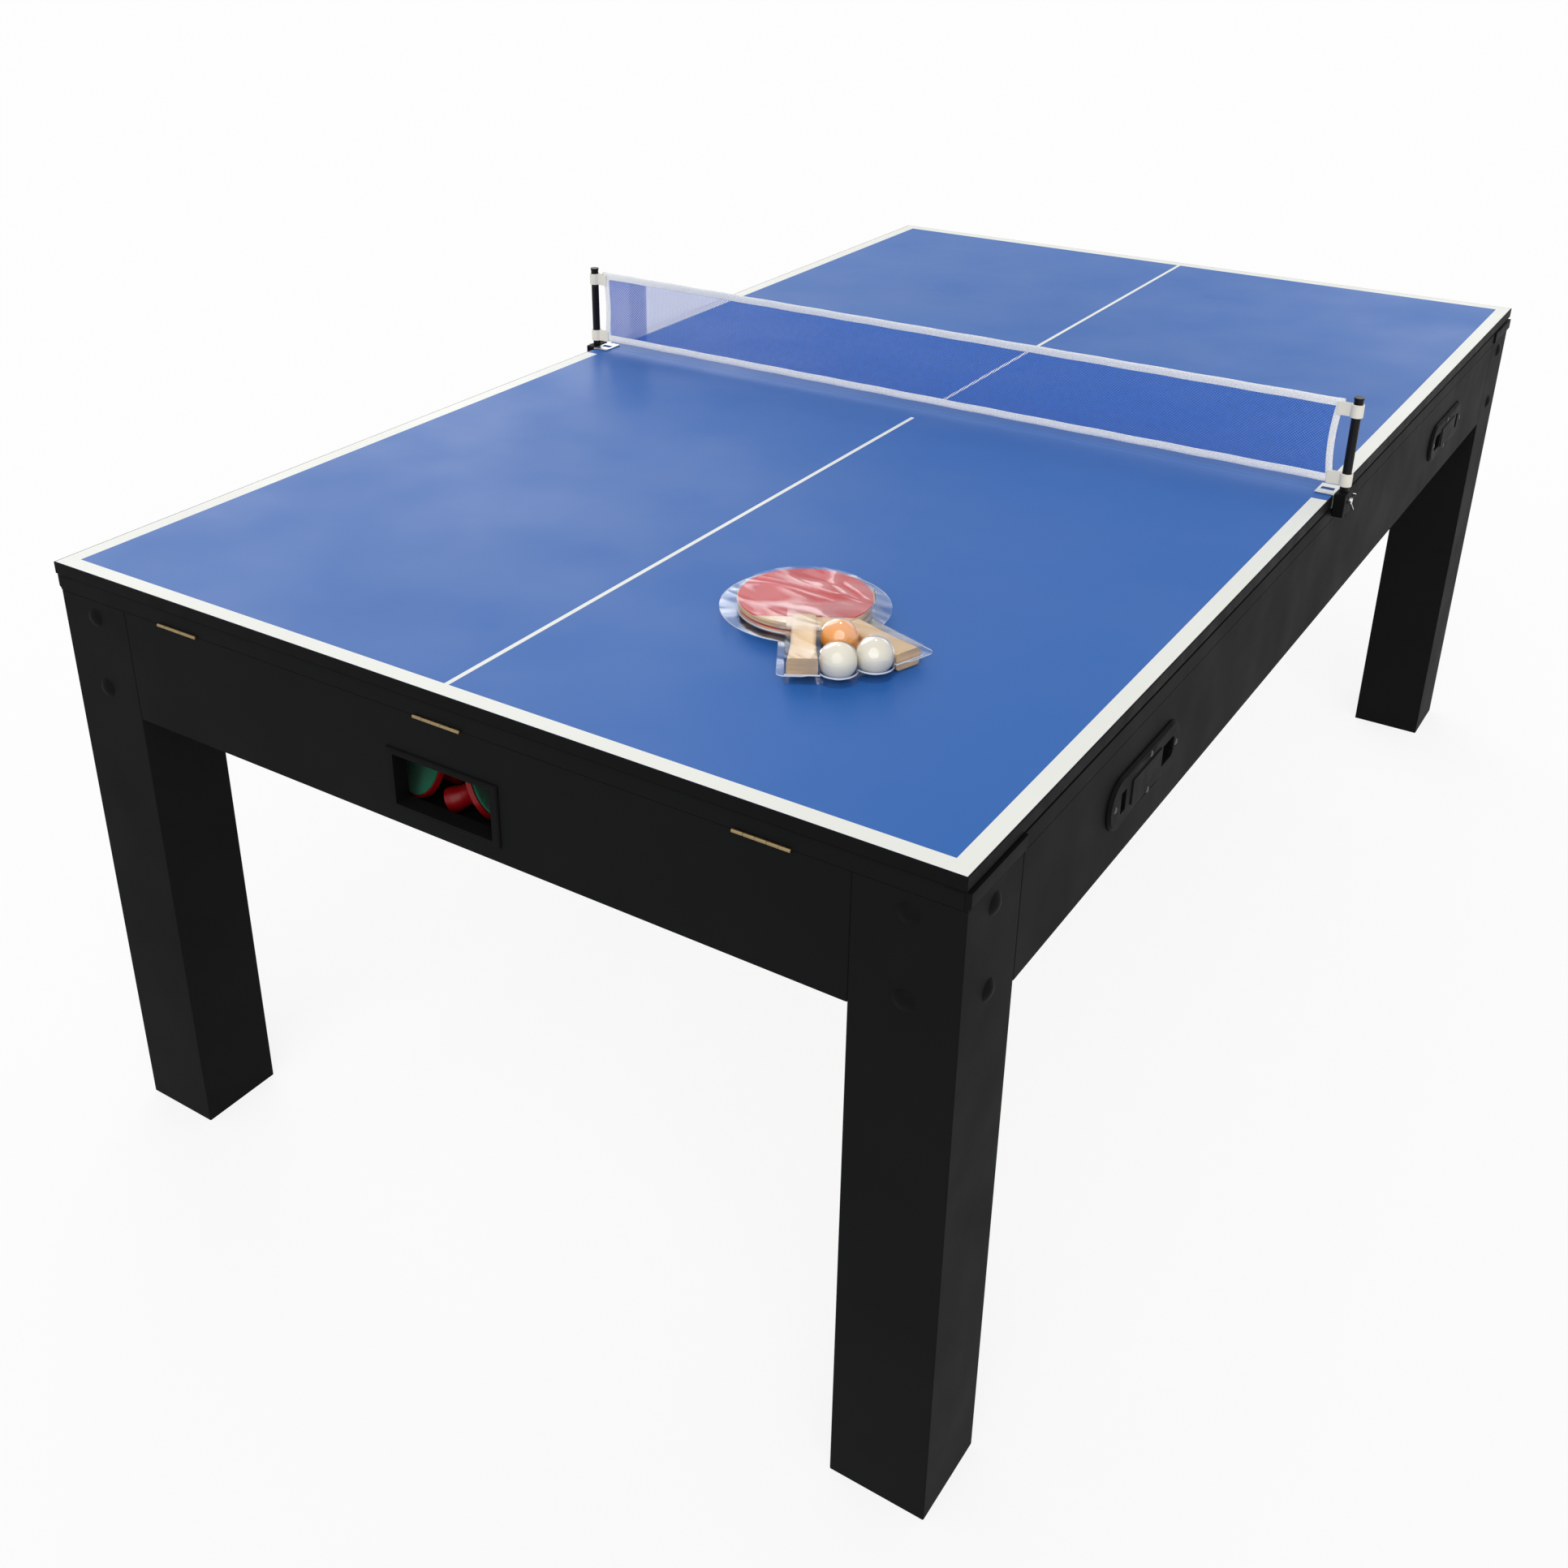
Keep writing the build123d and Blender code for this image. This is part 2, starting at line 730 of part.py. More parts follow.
def cushion(start, end, inner, along_x, sign):
    """Cushion between two pockets: a nosed section whose ends slope at the pocket mouths."""
    profile = [(0, cushion_foot), (cushion_depth - cushion_undercut, cushion_nose_low - cushion_foot),
               (cushion_depth, cushion_nose_low), (cushion_depth, cushion_nose_top), (0, cushion_top)]
    slope = cushion_depth * tan(radians(cushion_mouth_slope))
    plan = [(start, 0), (end, 0), (end - slope, cushion_depth), (start + slope, cushion_depth)]
    if along_x:
        section_plane = Plane(origin=(start, sign * inner, bed_top), x_dir=(0, -sign, 0), z_dir=(1, 0, 0))
        points = [(x, sign * (inner - y)) for x, y in plan]
    else:
        section_plane = Plane(origin=(sign * inner, start, bed_top), x_dir=(-sign, 0, 0), z_dir=(0, 1, 0))
        points = [(sign * (inner - y), x) for x, y in plan]
    up = section_plane.y_dir.Z
    section = make_face(Polyline(*[(u, up * v) for u, v in profile], close=True))
    bar = extrude(section_plane * section, end - start)
    return bar & prism(points, bed_top, rail_top)


def corner_mouth_reach():
    """How far from the rails' inner corner the corner pocket's hole reaches."""
    radius = pocket_radius + pocket_clearance
    return sqrt(radius ** 2 - corner_pocket_set_back ** 2) - corner_pocket_set_back


def side_mouth_reach():
    """Half width of the side pocket's hole at the rail's inner edge."""
    radius = pocket_radius + pocket_clearance
    return sqrt(radius ** 2 - side_pocket_set_back ** 2)


def end_cushion(sy):
    """Cushion of an end rail."""
    reach = rail_inner_x - corner_mouth_reach()
    return cushion(-reach, reach, rail_inner_y, True, sy)


def side_cushions():
    """Four cushions of the side rails."""
    reach = rail_inner_y - corner_mouth_reach()
    pieces = []
    for sx in (-1, 1):
        pieces.append(cushion(-reach, -side_mouth_reach(), rail_inner_x, False, sx))
        pieces.append(cushion(side_mouth_reach(), reach, rail_inner_x, False, sx))
    return pieces


def pocket_cup(x, y):
    """Cup with a rim on the rail, open to the playing field above the bed."""
    bottom = bed_top - pocket_depth
    cup = rod((x, y, bottom), (0, 0, 1), rail_top - bottom, pocket_radius)
    rim_low = (x, y, rail_top - pocket_rim_thickness)
    rim = rod(rim_low, (0, 0, 1), pocket_rim_thickness, pocket_radius + pocket_rim)
    inside_low = bottom + pocket_wall
    inside_height = rail_top - inside_low + overrun
    inside = rod((x, y, inside_low), (0, 0, 1), inside_height, pocket_radius - pocket_wall)
    body = cup + rim - inside
    field_low = (-rail_inner_x, -rail_inner_y, bed_top)
    return body - block(field_low, (rail_inner_x, rail_inner_y, rail_top + overrun))


def deck_joist(index):
    """Stiffener under the bed."""
    run = foot_outer_y * joist_run_share
    centre_y = -run + index * 2 * run / (joist_count - 1)
    low = (-joist_half_length, centre_y - joist_width / 2, bed_bottom - joist_height)
    return block(low, (joist_half_length, centre_y + joist_width / 2, bed_bottom))


def corner_cap_form(sx, sy):
    """Angled cap over the long side's edge at one corner of the deck."""
    outer = half_width + cap_thickness - cap_rebate
    inner = outer - cap_thickness
    flange_end = outer - cap_flange_width
    low = rail_top - cap_height
    flange_low = rail_top - cap_flange_thickness
    points = [(flange_end, rail_top), (outer, rail_top), (outer, low + cap_bevel), (outer - cap_bevel, low),
              (inner, low), (inner, flange_low), (flange_end, flange_low)]
    near_y = min(sy * half_cabinet, sy * (half_cabinet - leg_side))
    plane = Plane(origin=(0, near_y, 0), x_dir=(1, 0, 0), z_dir=(0, -1, 0))
    section = make_face(Polyline(*[(sx * x, z) for x, z in points], close=True))
    return extrude(plane * section, -leg_side)


# Table tennis top

def half_outline(sy, inset):
    """Corners of one half of the top, drawn in by an inset on its three outer sides."""
    reach = half_width - inset
    joint = sy * half_joint_gap / 2
    return (-reach, joint), (reach, sy * (half_board - inset))


def dowel_holes():
    """Round holes for the dowels in the joint between the halves."""
    length = dowel_length + 2 * dowel_clearance
    middle_z = board_bottom + board_thickness / 2
    starts = [(x, -length / 2, middle_z) for x in (-dowel_spread, 0, dowel_spread)]
    return [rod(start, (0, 1, 0), length, dowel_radius + dowel_clearance) for start in starts]


def top_half(sy):
    """Board of one half, without its edge band."""
    first, second = half_outline(sy, band_thickness)
    body = block((*first, board_bottom), (*second, board_top))
    for hole in dowel_holes():
        body = body - hole
    return body


def edge_band(sy):
    """Strip round the three outer edges of one half."""
    first, second = half_outline(sy, 0)
    inside_first, inside_second = half_outline(sy, band_thickness)
    outside = block((*first, board_bottom), (*second, board_top))
    inside_first = (inside_first[0], -sy * overrun)
    return outside - block((*inside_first, board_bottom), (*inside_second, board_top))


def dowels():
    """Dowels that line up the two halves."""
    middle_z = board_bottom + board_thickness / 2
    starts = [(x, -dowel_length / 2, middle_z) for x in (-dowel_spread, 0, dowel_spread)]
    return [rod(start, (0, 1, 0), dowel_length, dowel_radius) for start in starts]


def top_pads():
    """Rubber pads between the top and the rails."""
    pad_x = half_width - pad_from_edge
    pad_y = half_cabinet - pad_from_edge
    places = [(sx * pad_x, sy * pad_y) for sx, sy in corner_signs()]
    places += [(sx * pad_x, sy * pad_y / 2) for sx, sy in corner_signs()]
    places += [(0, -pad_y), (0, pad_y)]
    return [rod((x, y, rail_top), (0, 0, 1), pad_height, pad_radius) for x, y in places]


# Net

def net_outline(inset_ends, inset_sides):
    """Face of the net's outline in X and Z, with side edges that bow inward."""
    low = board_top + net_foot_height + inset_ends
    high = board_top + net_height - inset_ends
    middle = (low + high) / 2
    reach = net_half_length - inset_sides
    waist = reach - net_bow
    bottom = Line((-reach, low), (reach, low))
    right = ThreePointArc((reach, low), (waist, middle), (reach, high))
    top = Line((reach, high), (-reach, high))
    left = ThreePointArc((-reach, high), (-waist, middle), (-reach, low))
    return make_face(Curve() + [bottom, right, top, left])


def upright_slab(face, thickness):
    """Slab of a face drawn in X and Z, centred on the net's plane."""
    plane = Plane(origin=(0, thickness / 2, 0), x_dir=(1, 0, 0), z_dir=(0, -1, 0))
    return extrude(plane * face, thickness)


def net_tapes():
    """Sewn tape round the net."""
    return upright_slab(net_outline(0, 0) - net_outline(tape_width, side_tape_width), tape_thickness)


def net_mesh():
    """Mesh panel inside the tapes, with a grid of gaps."""
    panel = net_outline(tape_width, side_tape_width)
    low = board_top + net_foot_height + tape_width
    high = board_top + net_height - tape_width
    reach = net_half_length - side_tape_width - net_bow - mesh_strand
    column = 2 * reach / mesh_columns
    row = (high - low) / mesh_rows
    gap = Rectangle(column - mesh_strand, row - mesh_strand)
    first_x = -reach + column / 2
    first_z = low + row / 2
    places = [(first_x + column * i, first_z + row * j)
              for i in range(mesh_columns) for j in range(mesh_rows)]
    panel = panel - [Pos(x, z) * gap for x, z in places]
    return upright_slab(panel, mesh_thickness)


def net_sleeve(sx, low):
    """Plastic sleeve on a post with two leaves that hold a corner of the tapes between them."""
    axis_foot = (sx * post_x, 0, low)
    ring = rod(axis_foot, (0, 0, 1), sleeve_height, post_radius + sleeve_clearance + sleeve_wall)
    leaf_inner = tape_thickness / 2 + sleeve_leaf_gap
    leaf_outer = leaf_inner + sleeve_leaf_thickness
    leaf_end = sx * (net_half_length - sleeve_grip)
    body = ring
    for side in (-1, 1):
        corner = (sx * post_x, side * leaf_inner, low)
        body = body + block(corner, (leaf_end, side * leaf_outer, low + sleeve_height))
    bore = rod(axis_foot, (0, 0, 1), sleeve_height, post_radius + sleeve_clearance)
    return body - bore


def net_sleeves():
    """Upper and lower sleeve of each post."""
    upper = post_top - upper_sleeve_drop - sleeve_height
    lower = board_top + lower_sleeve_rise
    return [net_sleeve(sx, low) for sx in (-1, 1) for low in (upper, lower)]


def net_post(sx):
    """Tube of the net with a cap on top."""
    tube = rod((sx * post_x, 0, clamp_low), (0, 0, 1), post_top - clamp_low, post_radius)
    cap = rod((sx * post_x, 0, post_top), (0, 0, 1), post_cap_height, post_radius + post_cap_lip)
    return tube + cap


def clamp_plate(sx):
    """Bent steel plate that grips the top from above and below."""
    half_jaw = jaw_width / 2
    web_outer = sx * clamp_inner_x
    web_inner = sx * half_width
    jaw_end = sx * (half_width - jaw_reach)
    upper_low = board_top
    lower_high = board_bottom - jaw_under_gap
    upper = block((jaw_end, -half_jaw, upper_low), (web_outer, half_jaw, upper_low + jaw_thickness))
    lower = block((jaw_end, -half_jaw, lower_high - jaw_thickness), (web_outer, half_jaw, lower_high))
    web_low = (web_inner, -half_jaw, lower_high - jaw_thickness)
    web = block(web_low, (web_outer, half_jaw, upper_low + jaw_thickness))
    slot_start = sx * (half_width - jaw_reach + jaw_slot_inset)
    slot_end = sx * (half_width - jaw_slot_inset)
    slot = block((slot_start, -jaw_slot_width / 2, upper_low),
                 (slot_end, jaw_slot_width / 2, upper_low + jaw_thickness))
    return upper + lower + web - slot


def clamp_body(sx):
    """Moulded block that holds the post and the wing screw."""
    high = board_top + clamp_body_rise
    half_body = jaw_width / 2
    body = block((sx * clamp_inner_x, -half_body, clamp_low), (sx * clamp_outer_x, half_body, high))
    body = chamfer(body.edges().filter_by(Axis.Z), edge_break)
    bore_radius = post_radius + sleeve_clearance
    body = body - rod((sx * post_x, 0, clamp_low), (0, 0, 1), high - clamp_low, bore_radius)
    foot = rod((sx * post_x, 0, clamp_low - clamp_web), (0, 0, 1), clamp_web, bore_radius + clamp_web)
    hole_radius = screw_radius + screw_clearance
    hole = rod((sx * post_x, 0, screw_z), (sx, 0, 0), clamp_body_width + overrun, hole_radius)
    return body + foot - hole


# Wing screws

def lock_pad(sx):
    """Pad between the screw's tip and the post."""
    start = sx * (post_x + post_radius + lock_pad_gap)
    return rod((start, 0, screw_z), (sx, 0, 0), lock_pad_thickness, screw_radius)


def wing_screw(sx):
    """Screw with a hub and two wings."""
    tip_x = post_x + post_radius + lock_pad_gap + lock_pad_thickness
    hub_x = clamp_outer_x + screw_stand_out - screw_hub_length
    shank = rod((sx * tip_x, 0, screw_z), (sx, 0, 0), hub_x - tip_x, screw_radius)
    hub = rod((sx * hub_x, 0, screw_z), (sx, 0, 0), screw_hub_length, screw_hub_radius)
    plane = Plane(origin=(sx * hub_x, wing_thickness / 2, screw_z), x_dir=(sx, 0, 0), z_dir=(0, 1, 0))
    body = shank + hub
    for side in (-1, 1):
        root_low = side * screw_radius
        tip = side * wing_span / 2
        points = [(0, root_low), (screw_hub_length, root_low), (wing_length, tip), (wing_length / 2, tip)]
        wing = extrude(plane * make_face(Polyline(*points, close=True)), -wing_thickness)
        body = body + wing
    return body


# Racket and ball pack

def pack_place():
    """Frame of the pack: its X axis points from the blades to the balls."""
    return Pos(pack_x, pack_y, board_top) * Rot(0, 0, pack_turn)


def racket_places():
    """Frame of each racket inside the pack, the lower one first."""
    lower = Rot(0, 0, racket_splay) * Pos(0, 0, lower_racket_z)
    upper = Rot(0, 0, -racket_splay) * Pos(0, 0, upper_racket_z)
    return [lower, upper]


def handle_outline(start, start_width):
    """Closed outline of the handle, which widens toward its end."""
    waist = start + (handle_end - start) * handle_waist_share
    half_start = start_width / 2
    half_waist = handle_width / 2
    half_end = handle_end_width / 2
    upper = Polyline((start, half_start), (waist, half_waist), (handle_end, half_end))
    lower = Polyline((handle_end, -half_end), (waist, -half_waist), (start, -half_start))
    butt = Line((handle_end, half_end), (handle_end, -half_end))
    root = Line((start, -half_start), (start, half_start))
    return make_face(Curve() + [upper, butt, lower, root])


def racket_wood(side):
    """Blade and flared handle; the handle's scale runs on over the blade on one side."""
    blade = extrude(Circle(blade_radius), blade_thickness / 2, both=True)
    handle = extrude(handle_outline(handle_start, handle_width), handle_thickness / 2, both=True)
    along = cos(radians(racket_splay))
    long_edges = [edge for edge in handle.edges() if abs(edge.tangent_at(0).X) > along]
    handle = fillet(long_edges, handle_round)
    tongue_end = (handle_start + handle_gap, handle_width / 2, blade_thickness / 2)
    tongue = block((scale_start, -handle_width / 2, -blade_thickness / 2), tongue_end)
    low = side * blade_thickness / 2
    high = side * handle_thickness / 2
    scale = block((scale_start, -handle_width / 2, low), (handle_start, handle_width / 2, high))
    top_edges = scale.edges().filter_by(Axis.X).sort_by(Axis.Z)
    top_edges = top_edges[-2:] if side > 0 else top_edges[:2]
    scale = fillet(top_edges, handle_round)
    start_edges = scale.edges().filter_by(Axis.Z).sort_by(Axis.X)[:2]
    scale = fillet(start_edges, scale_round)
    return blade + tongue + handle + scale


def racket_rubber(side):
    """Rubber sheet on one side of a blade, cut straight above the handle."""
    cut = Pos(rubber_cut_back + blade_radius, 0) * Rectangle(2 * blade_radius, 2 * blade_radius)
    low = blade_thickness / 2 if side > 0 else -blade_thickness / 2 - rubber_thickness
    return extrude(Pos(0, 0, low) * (Circle(blade_radius - rubber_inset) - cut), rubber_thickness)


def ball_places():
    """Centres of the balls in the pack's frame, the one next to the blades first."""
    half_row = ball_radius + pack_gap / 2
    height = ball_radius + blister_wall + pack_gap
    row = [(ball_row_reach, side * half_row, height) for side in (-1, 1)]
    return [(front_ball_reach, 0, height)] + row


def lobe(turn, start, reach, half_width):
    """Rectangle along a handle."""
    return Rot(0, 0, turn) * Pos((start + reach) / 2, 0) * Rectangle(reach - start, 2 * half_width)


def flange_outline():
    """Outline of the flange: round at the blades and straight across the ends of the handles."""
    reach = blister_end_reach + blister_end_flange
    tips = []
    handles = [(-racket_splay, -1, left_handle_flange), (racket_splay, 1, right_handle_flange)]
    for turn, sign, flange in handles:
        side = blister_lobe_half_width + flange
        corners = [(0, sign * side), (reach, sign * side), (reach, 0)]
        turned = [Vector(x, y, 0).rotate(Axis.Z, turn) for x, y in corners]
        tips.append([(point.X, point.Y) for point in turned])
    tail = make_face(Polyline(*tips[0], *reversed(tips[1]), close=True))
    tail = fillet(tail.vertices().sort_by(Axis.X)[-2 * len(tips):], blister_corner_round)
    return tail + Circle(blade_radius + blister_flange)


def ball_dome(place, radius, low):
    """Upright rod with a round top that a ball fits in."""
    x, y, z = place
    half_chord = radius / sqrt(2)
    arc = ThreePointArc((radius, z), (half_chord, z + half_chord), (0, z + radius))
    sides = Polyline((0, z + radius), (0, low), (radius, low), (radius, z))
    return Pos(x, y, 0) * revolve(Plane.XZ * make_face(Curve() + [arc, sides]), Axis.Z)


def blister_form(grow, low):
    """Solid form of the pack: blades, handles and balls wrapped with a margin."""
    reach = blister_end_reach + grow
    half_width = blister_lobe_half_width + grow
    handles = [(racket_splay, 0, lower_lobe_top), (-racket_splay, scale_start - grow, upper_lobe_top)]
    body = Pos(0, 0, low) * extrude(Circle(blade_radius + grow), blade_cover_top + grow - low)
    for turn, start, top in handles:
        body = body + Pos(0, 0, low) * extrude(lobe(turn, start, reach, half_width), top + grow - low)
    bridge = Pos(ball_row_reach / 2, 0) * Rectangle(ball_row_reach, 2 * ball_radius)
    body = body + Pos(0, 0, low) * extrude(bridge, lower_lobe_top + grow - low)
    for place in ball_places():
        body = body + ball_dome(place, ball_radius + pack_gap + grow, low)
    return body


def blister():
    """Clear cover and tray whose flanges meet at mid height."""
    inside = blister_form(blister_fit, blister_wall)
    cover = blister_form(blister_fit + blister_wall, blister_flange_level)
    whole = blister_form(blister_fit + blister_wall, 0)
    flange = extrude(flange_outline(), blister_wall)
    upper_flange = Pos(0, 0, blister_flange_level) * flange
    lower_flange = Pos(0, 0, blister_flange_level - blister_wall) * flange
    return [cover + upper_flange - inside, whole - cover + lower_flange - inside]


# Pushers

def pusher_profile_body():
    """Half section of a pusher, with its axis up and its base at the origin."""
    base = pusher_felt
    points = [(0, base), (pusher_radius, base), (pusher_radius, base + pusher_rim)]
    waist = (pusher_waist_radius, pusher_waist_height)
    shoulder = (pusher_knob_radius, pusher_height - pusher_rim)
    flare_x = pusher_waist_radius + (pusher_radius - pusher_waist_radius) * pusher_flare_share
    flare_mid = (flare_x, base + 2 * pusher_rim)
    outline = Polyline(*points)
    flare = ThreePointArc(points[-1], flare_mid, waist)
    knob = Polyline(waist, shoulder, (pusher_knob_radius, pusher_height), (0, pusher_height), (0, base))
    return make_face(Curve() + [outline, flare, knob])


def pusher_body():
    """Turned body of a pusher."""
    return revolve(Plane.XZ * pusher_profile_body(), Axis.Z)


def pusher_pad():
    """Felt disc under a pusher."""
    return rod((0, 0, 0), (0, 0, 1), pusher_felt, pusher_radius - pusher_felt_inset)


def pusher_place(x, back, heading):
    """Frame of a pusher that lies on its side in the near tray."""
    rim_top = pusher_felt + pusher_rim
    lean = degrees(atan2(pusher_radius - pusher_knob_radius, pusher_height - rim_top))
    lift = pusher_radius * cos(radians(lean)) + rim_top * sin(radians(lean)) + pusher_rest_gap
    spot = Pos(x, -inner_y + back, tray_floor + lift)
    return spot * Rot(0, 0, heading) * Rot(0, 90 + lean, 0)


def named_parts():
    """Every node and its solids."""
    rackets = racket_places()
    pack = pack_place()
    left_pusher = pusher_place(left_pusher_x, left_pusher_back, left_pusher_heading)
    right_pusher = pusher_place(right_pusher_x, right_pusher_back, right_pusher_heading)
    corners, sides = pocket_places()
    plates = plate_places()
    screw_places = [place for plate in plates for place in plate_screw_places(*plate)]
    rubbers = [racket_rubber(1), racket_rubber(-1)]
    return {
        "leg_near_left": leg(-1, -1),
        "leg_near_right": leg(1, -1),
        "leg_far_left": leg(-1, 1),
        "leg_far_right": leg(1, 1),
        "apron_near": near_apron(),
        "apron_far": end_apron(1),
        "apron_left": side_apron(-1),
        "apron_right": plate_apron(),
        "corner_cleats": group([corner_cleat(sx, sy) for sx, sy in corner_signs()]),
        "leg_bolts": group([leg_bolt(*seat) for seat in all_bolt_seats()]),
        "bolt_covers": group([bolt_cover(*seat) for seat in all_bolt_seats()]),
        "cross_rails": group([cross_rail(y) for y in cross_rail_places()]),
        "rink_bed": rink_bed(),
        "rink_walls": group([wall(sign) for wall in (rink_side_wall, rink_end_wall) for sign in (-1, 1)]),
        "goal_tray_near": goal_tray(-1),
        "goal_tray_far": goal_tray(1),
        "return_bezel": return_bezel(),
        "side_plate_near": side_plate(*plates[0]),
        "side_plate_far": side_plate(*plates[1]),
        "plate_screws": group([plate_screw(place) for place in screw_places]),
        "hinge_leaves_lower": group([hinge_leaf(x, -1) for x in hinge_centres()]),
        "hinge_pins": group([hinge_pin(x) for x in hinge_centres()]),
        "rail_near": end_rail(-1),
        "rail_far": end_rail(1),
        "rail_left": side_rail(-1),
        "rail_right": side_rail(1),
        "pool_bed": pool_bed(),
        "bed_cloth": bed_cloth(),
        "end_cushions": group([end_cushion(-1), end_cushion(1)]),
        "side_cushions": group(side_cushions()),
        "corner_pockets": group([pocket_cup(x, y) for x, y in corners]),
        "side_pockets": group([pocket_cup(x, y) for x, y in sides]),
        "deck_joists": group([deck_joist(index) for index in range(joist_count)]),
        "hinge_leaves_upper": group([hinge_leaf(x, 1) for x in hinge_centres()]),
        "corner_caps": group([corner_cap_form(sx, sy) for sx, sy in corner_signs()]),
        "tennis_top_near": top_half(-1),
        "tennis_top_far": top_half(1),
        "edge_band_near": edge_band(-1),
        "edge_band_far": edge_band(1),
        "top_pads": group(top_pads()),
        "joint_dowels": group(dowels()),
        "net_mesh": net_mesh(),
        "net_tapes": net_tapes(),
        "net_sleeves": group(net_sleeves()),
        "net_posts": group([net_post(-1), net_post(1)]),
        "clamp_plates": group([clamp_plate(-1), clamp_plate(1)]),
        "clamp_bodies": group([clamp_body(-1), clamp_body(1)]),
        "lock_pad_left": lock_pad(-1),
        "lock_pad_right": lock_pad(1),
        "wing_screw_left": wing_screw(-1),
        "wing_screw_right": wing_screw(1),
        "blister_shell": group([pack * piece for piece in blister()]),
        "racket_woods": group([pack * place * racket_wood(side) for place, side in zip(rackets, (-1, 1))]),
        "racket_rubbers": group([pack * place * rubber for place in rackets for rubber in rubbers]),
        "ball_orange": pack * Pos(*ball_places()[0]) * Sphere(ball_radius),
        "balls_white": group([pack * Pos(*place) * Sphere(ball_radius) for place in ball_places()[1:]]),
        "pusher_left": left_pusher * pusher_body(),
        "pusher_right": right_pusher * pusher_body(),
        "pusher_felt_left": left_pusher * pusher_pad(),
        "pusher_felt_right": right_pusher * pusher_pad(),
    }


os.makedirs("parts", exist_ok=True)
for name, shape in named_parts().items():
    export_step(shape, f"parts/{name}.step")
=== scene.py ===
import json
import math
from collections import namedtuple

import bmesh
import bpy
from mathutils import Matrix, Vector


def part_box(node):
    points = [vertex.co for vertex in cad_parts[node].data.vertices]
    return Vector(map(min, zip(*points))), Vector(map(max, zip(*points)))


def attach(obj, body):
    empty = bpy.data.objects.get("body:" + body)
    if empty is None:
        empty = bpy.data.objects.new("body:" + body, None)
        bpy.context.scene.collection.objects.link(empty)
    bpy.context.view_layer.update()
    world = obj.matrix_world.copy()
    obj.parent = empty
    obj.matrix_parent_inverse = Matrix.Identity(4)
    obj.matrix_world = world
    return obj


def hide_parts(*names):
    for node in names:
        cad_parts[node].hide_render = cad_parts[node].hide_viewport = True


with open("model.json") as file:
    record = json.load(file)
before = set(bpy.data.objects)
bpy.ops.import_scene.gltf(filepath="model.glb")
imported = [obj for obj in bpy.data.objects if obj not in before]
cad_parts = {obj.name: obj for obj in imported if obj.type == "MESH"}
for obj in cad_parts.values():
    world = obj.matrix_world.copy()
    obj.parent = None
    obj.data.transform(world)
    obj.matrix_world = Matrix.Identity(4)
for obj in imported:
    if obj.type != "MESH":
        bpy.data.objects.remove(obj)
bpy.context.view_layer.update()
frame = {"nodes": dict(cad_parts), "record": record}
nodes = frame["nodes"]
slot_of = {entry["node"]: entry["material_slot"] for entry in frame["record"]["subparts"]}

MM = 0.001
IMAGE_SIDE = 1932
SENSOR = 36.0
LEAST_ROUGHNESS = 0.02


# Materials

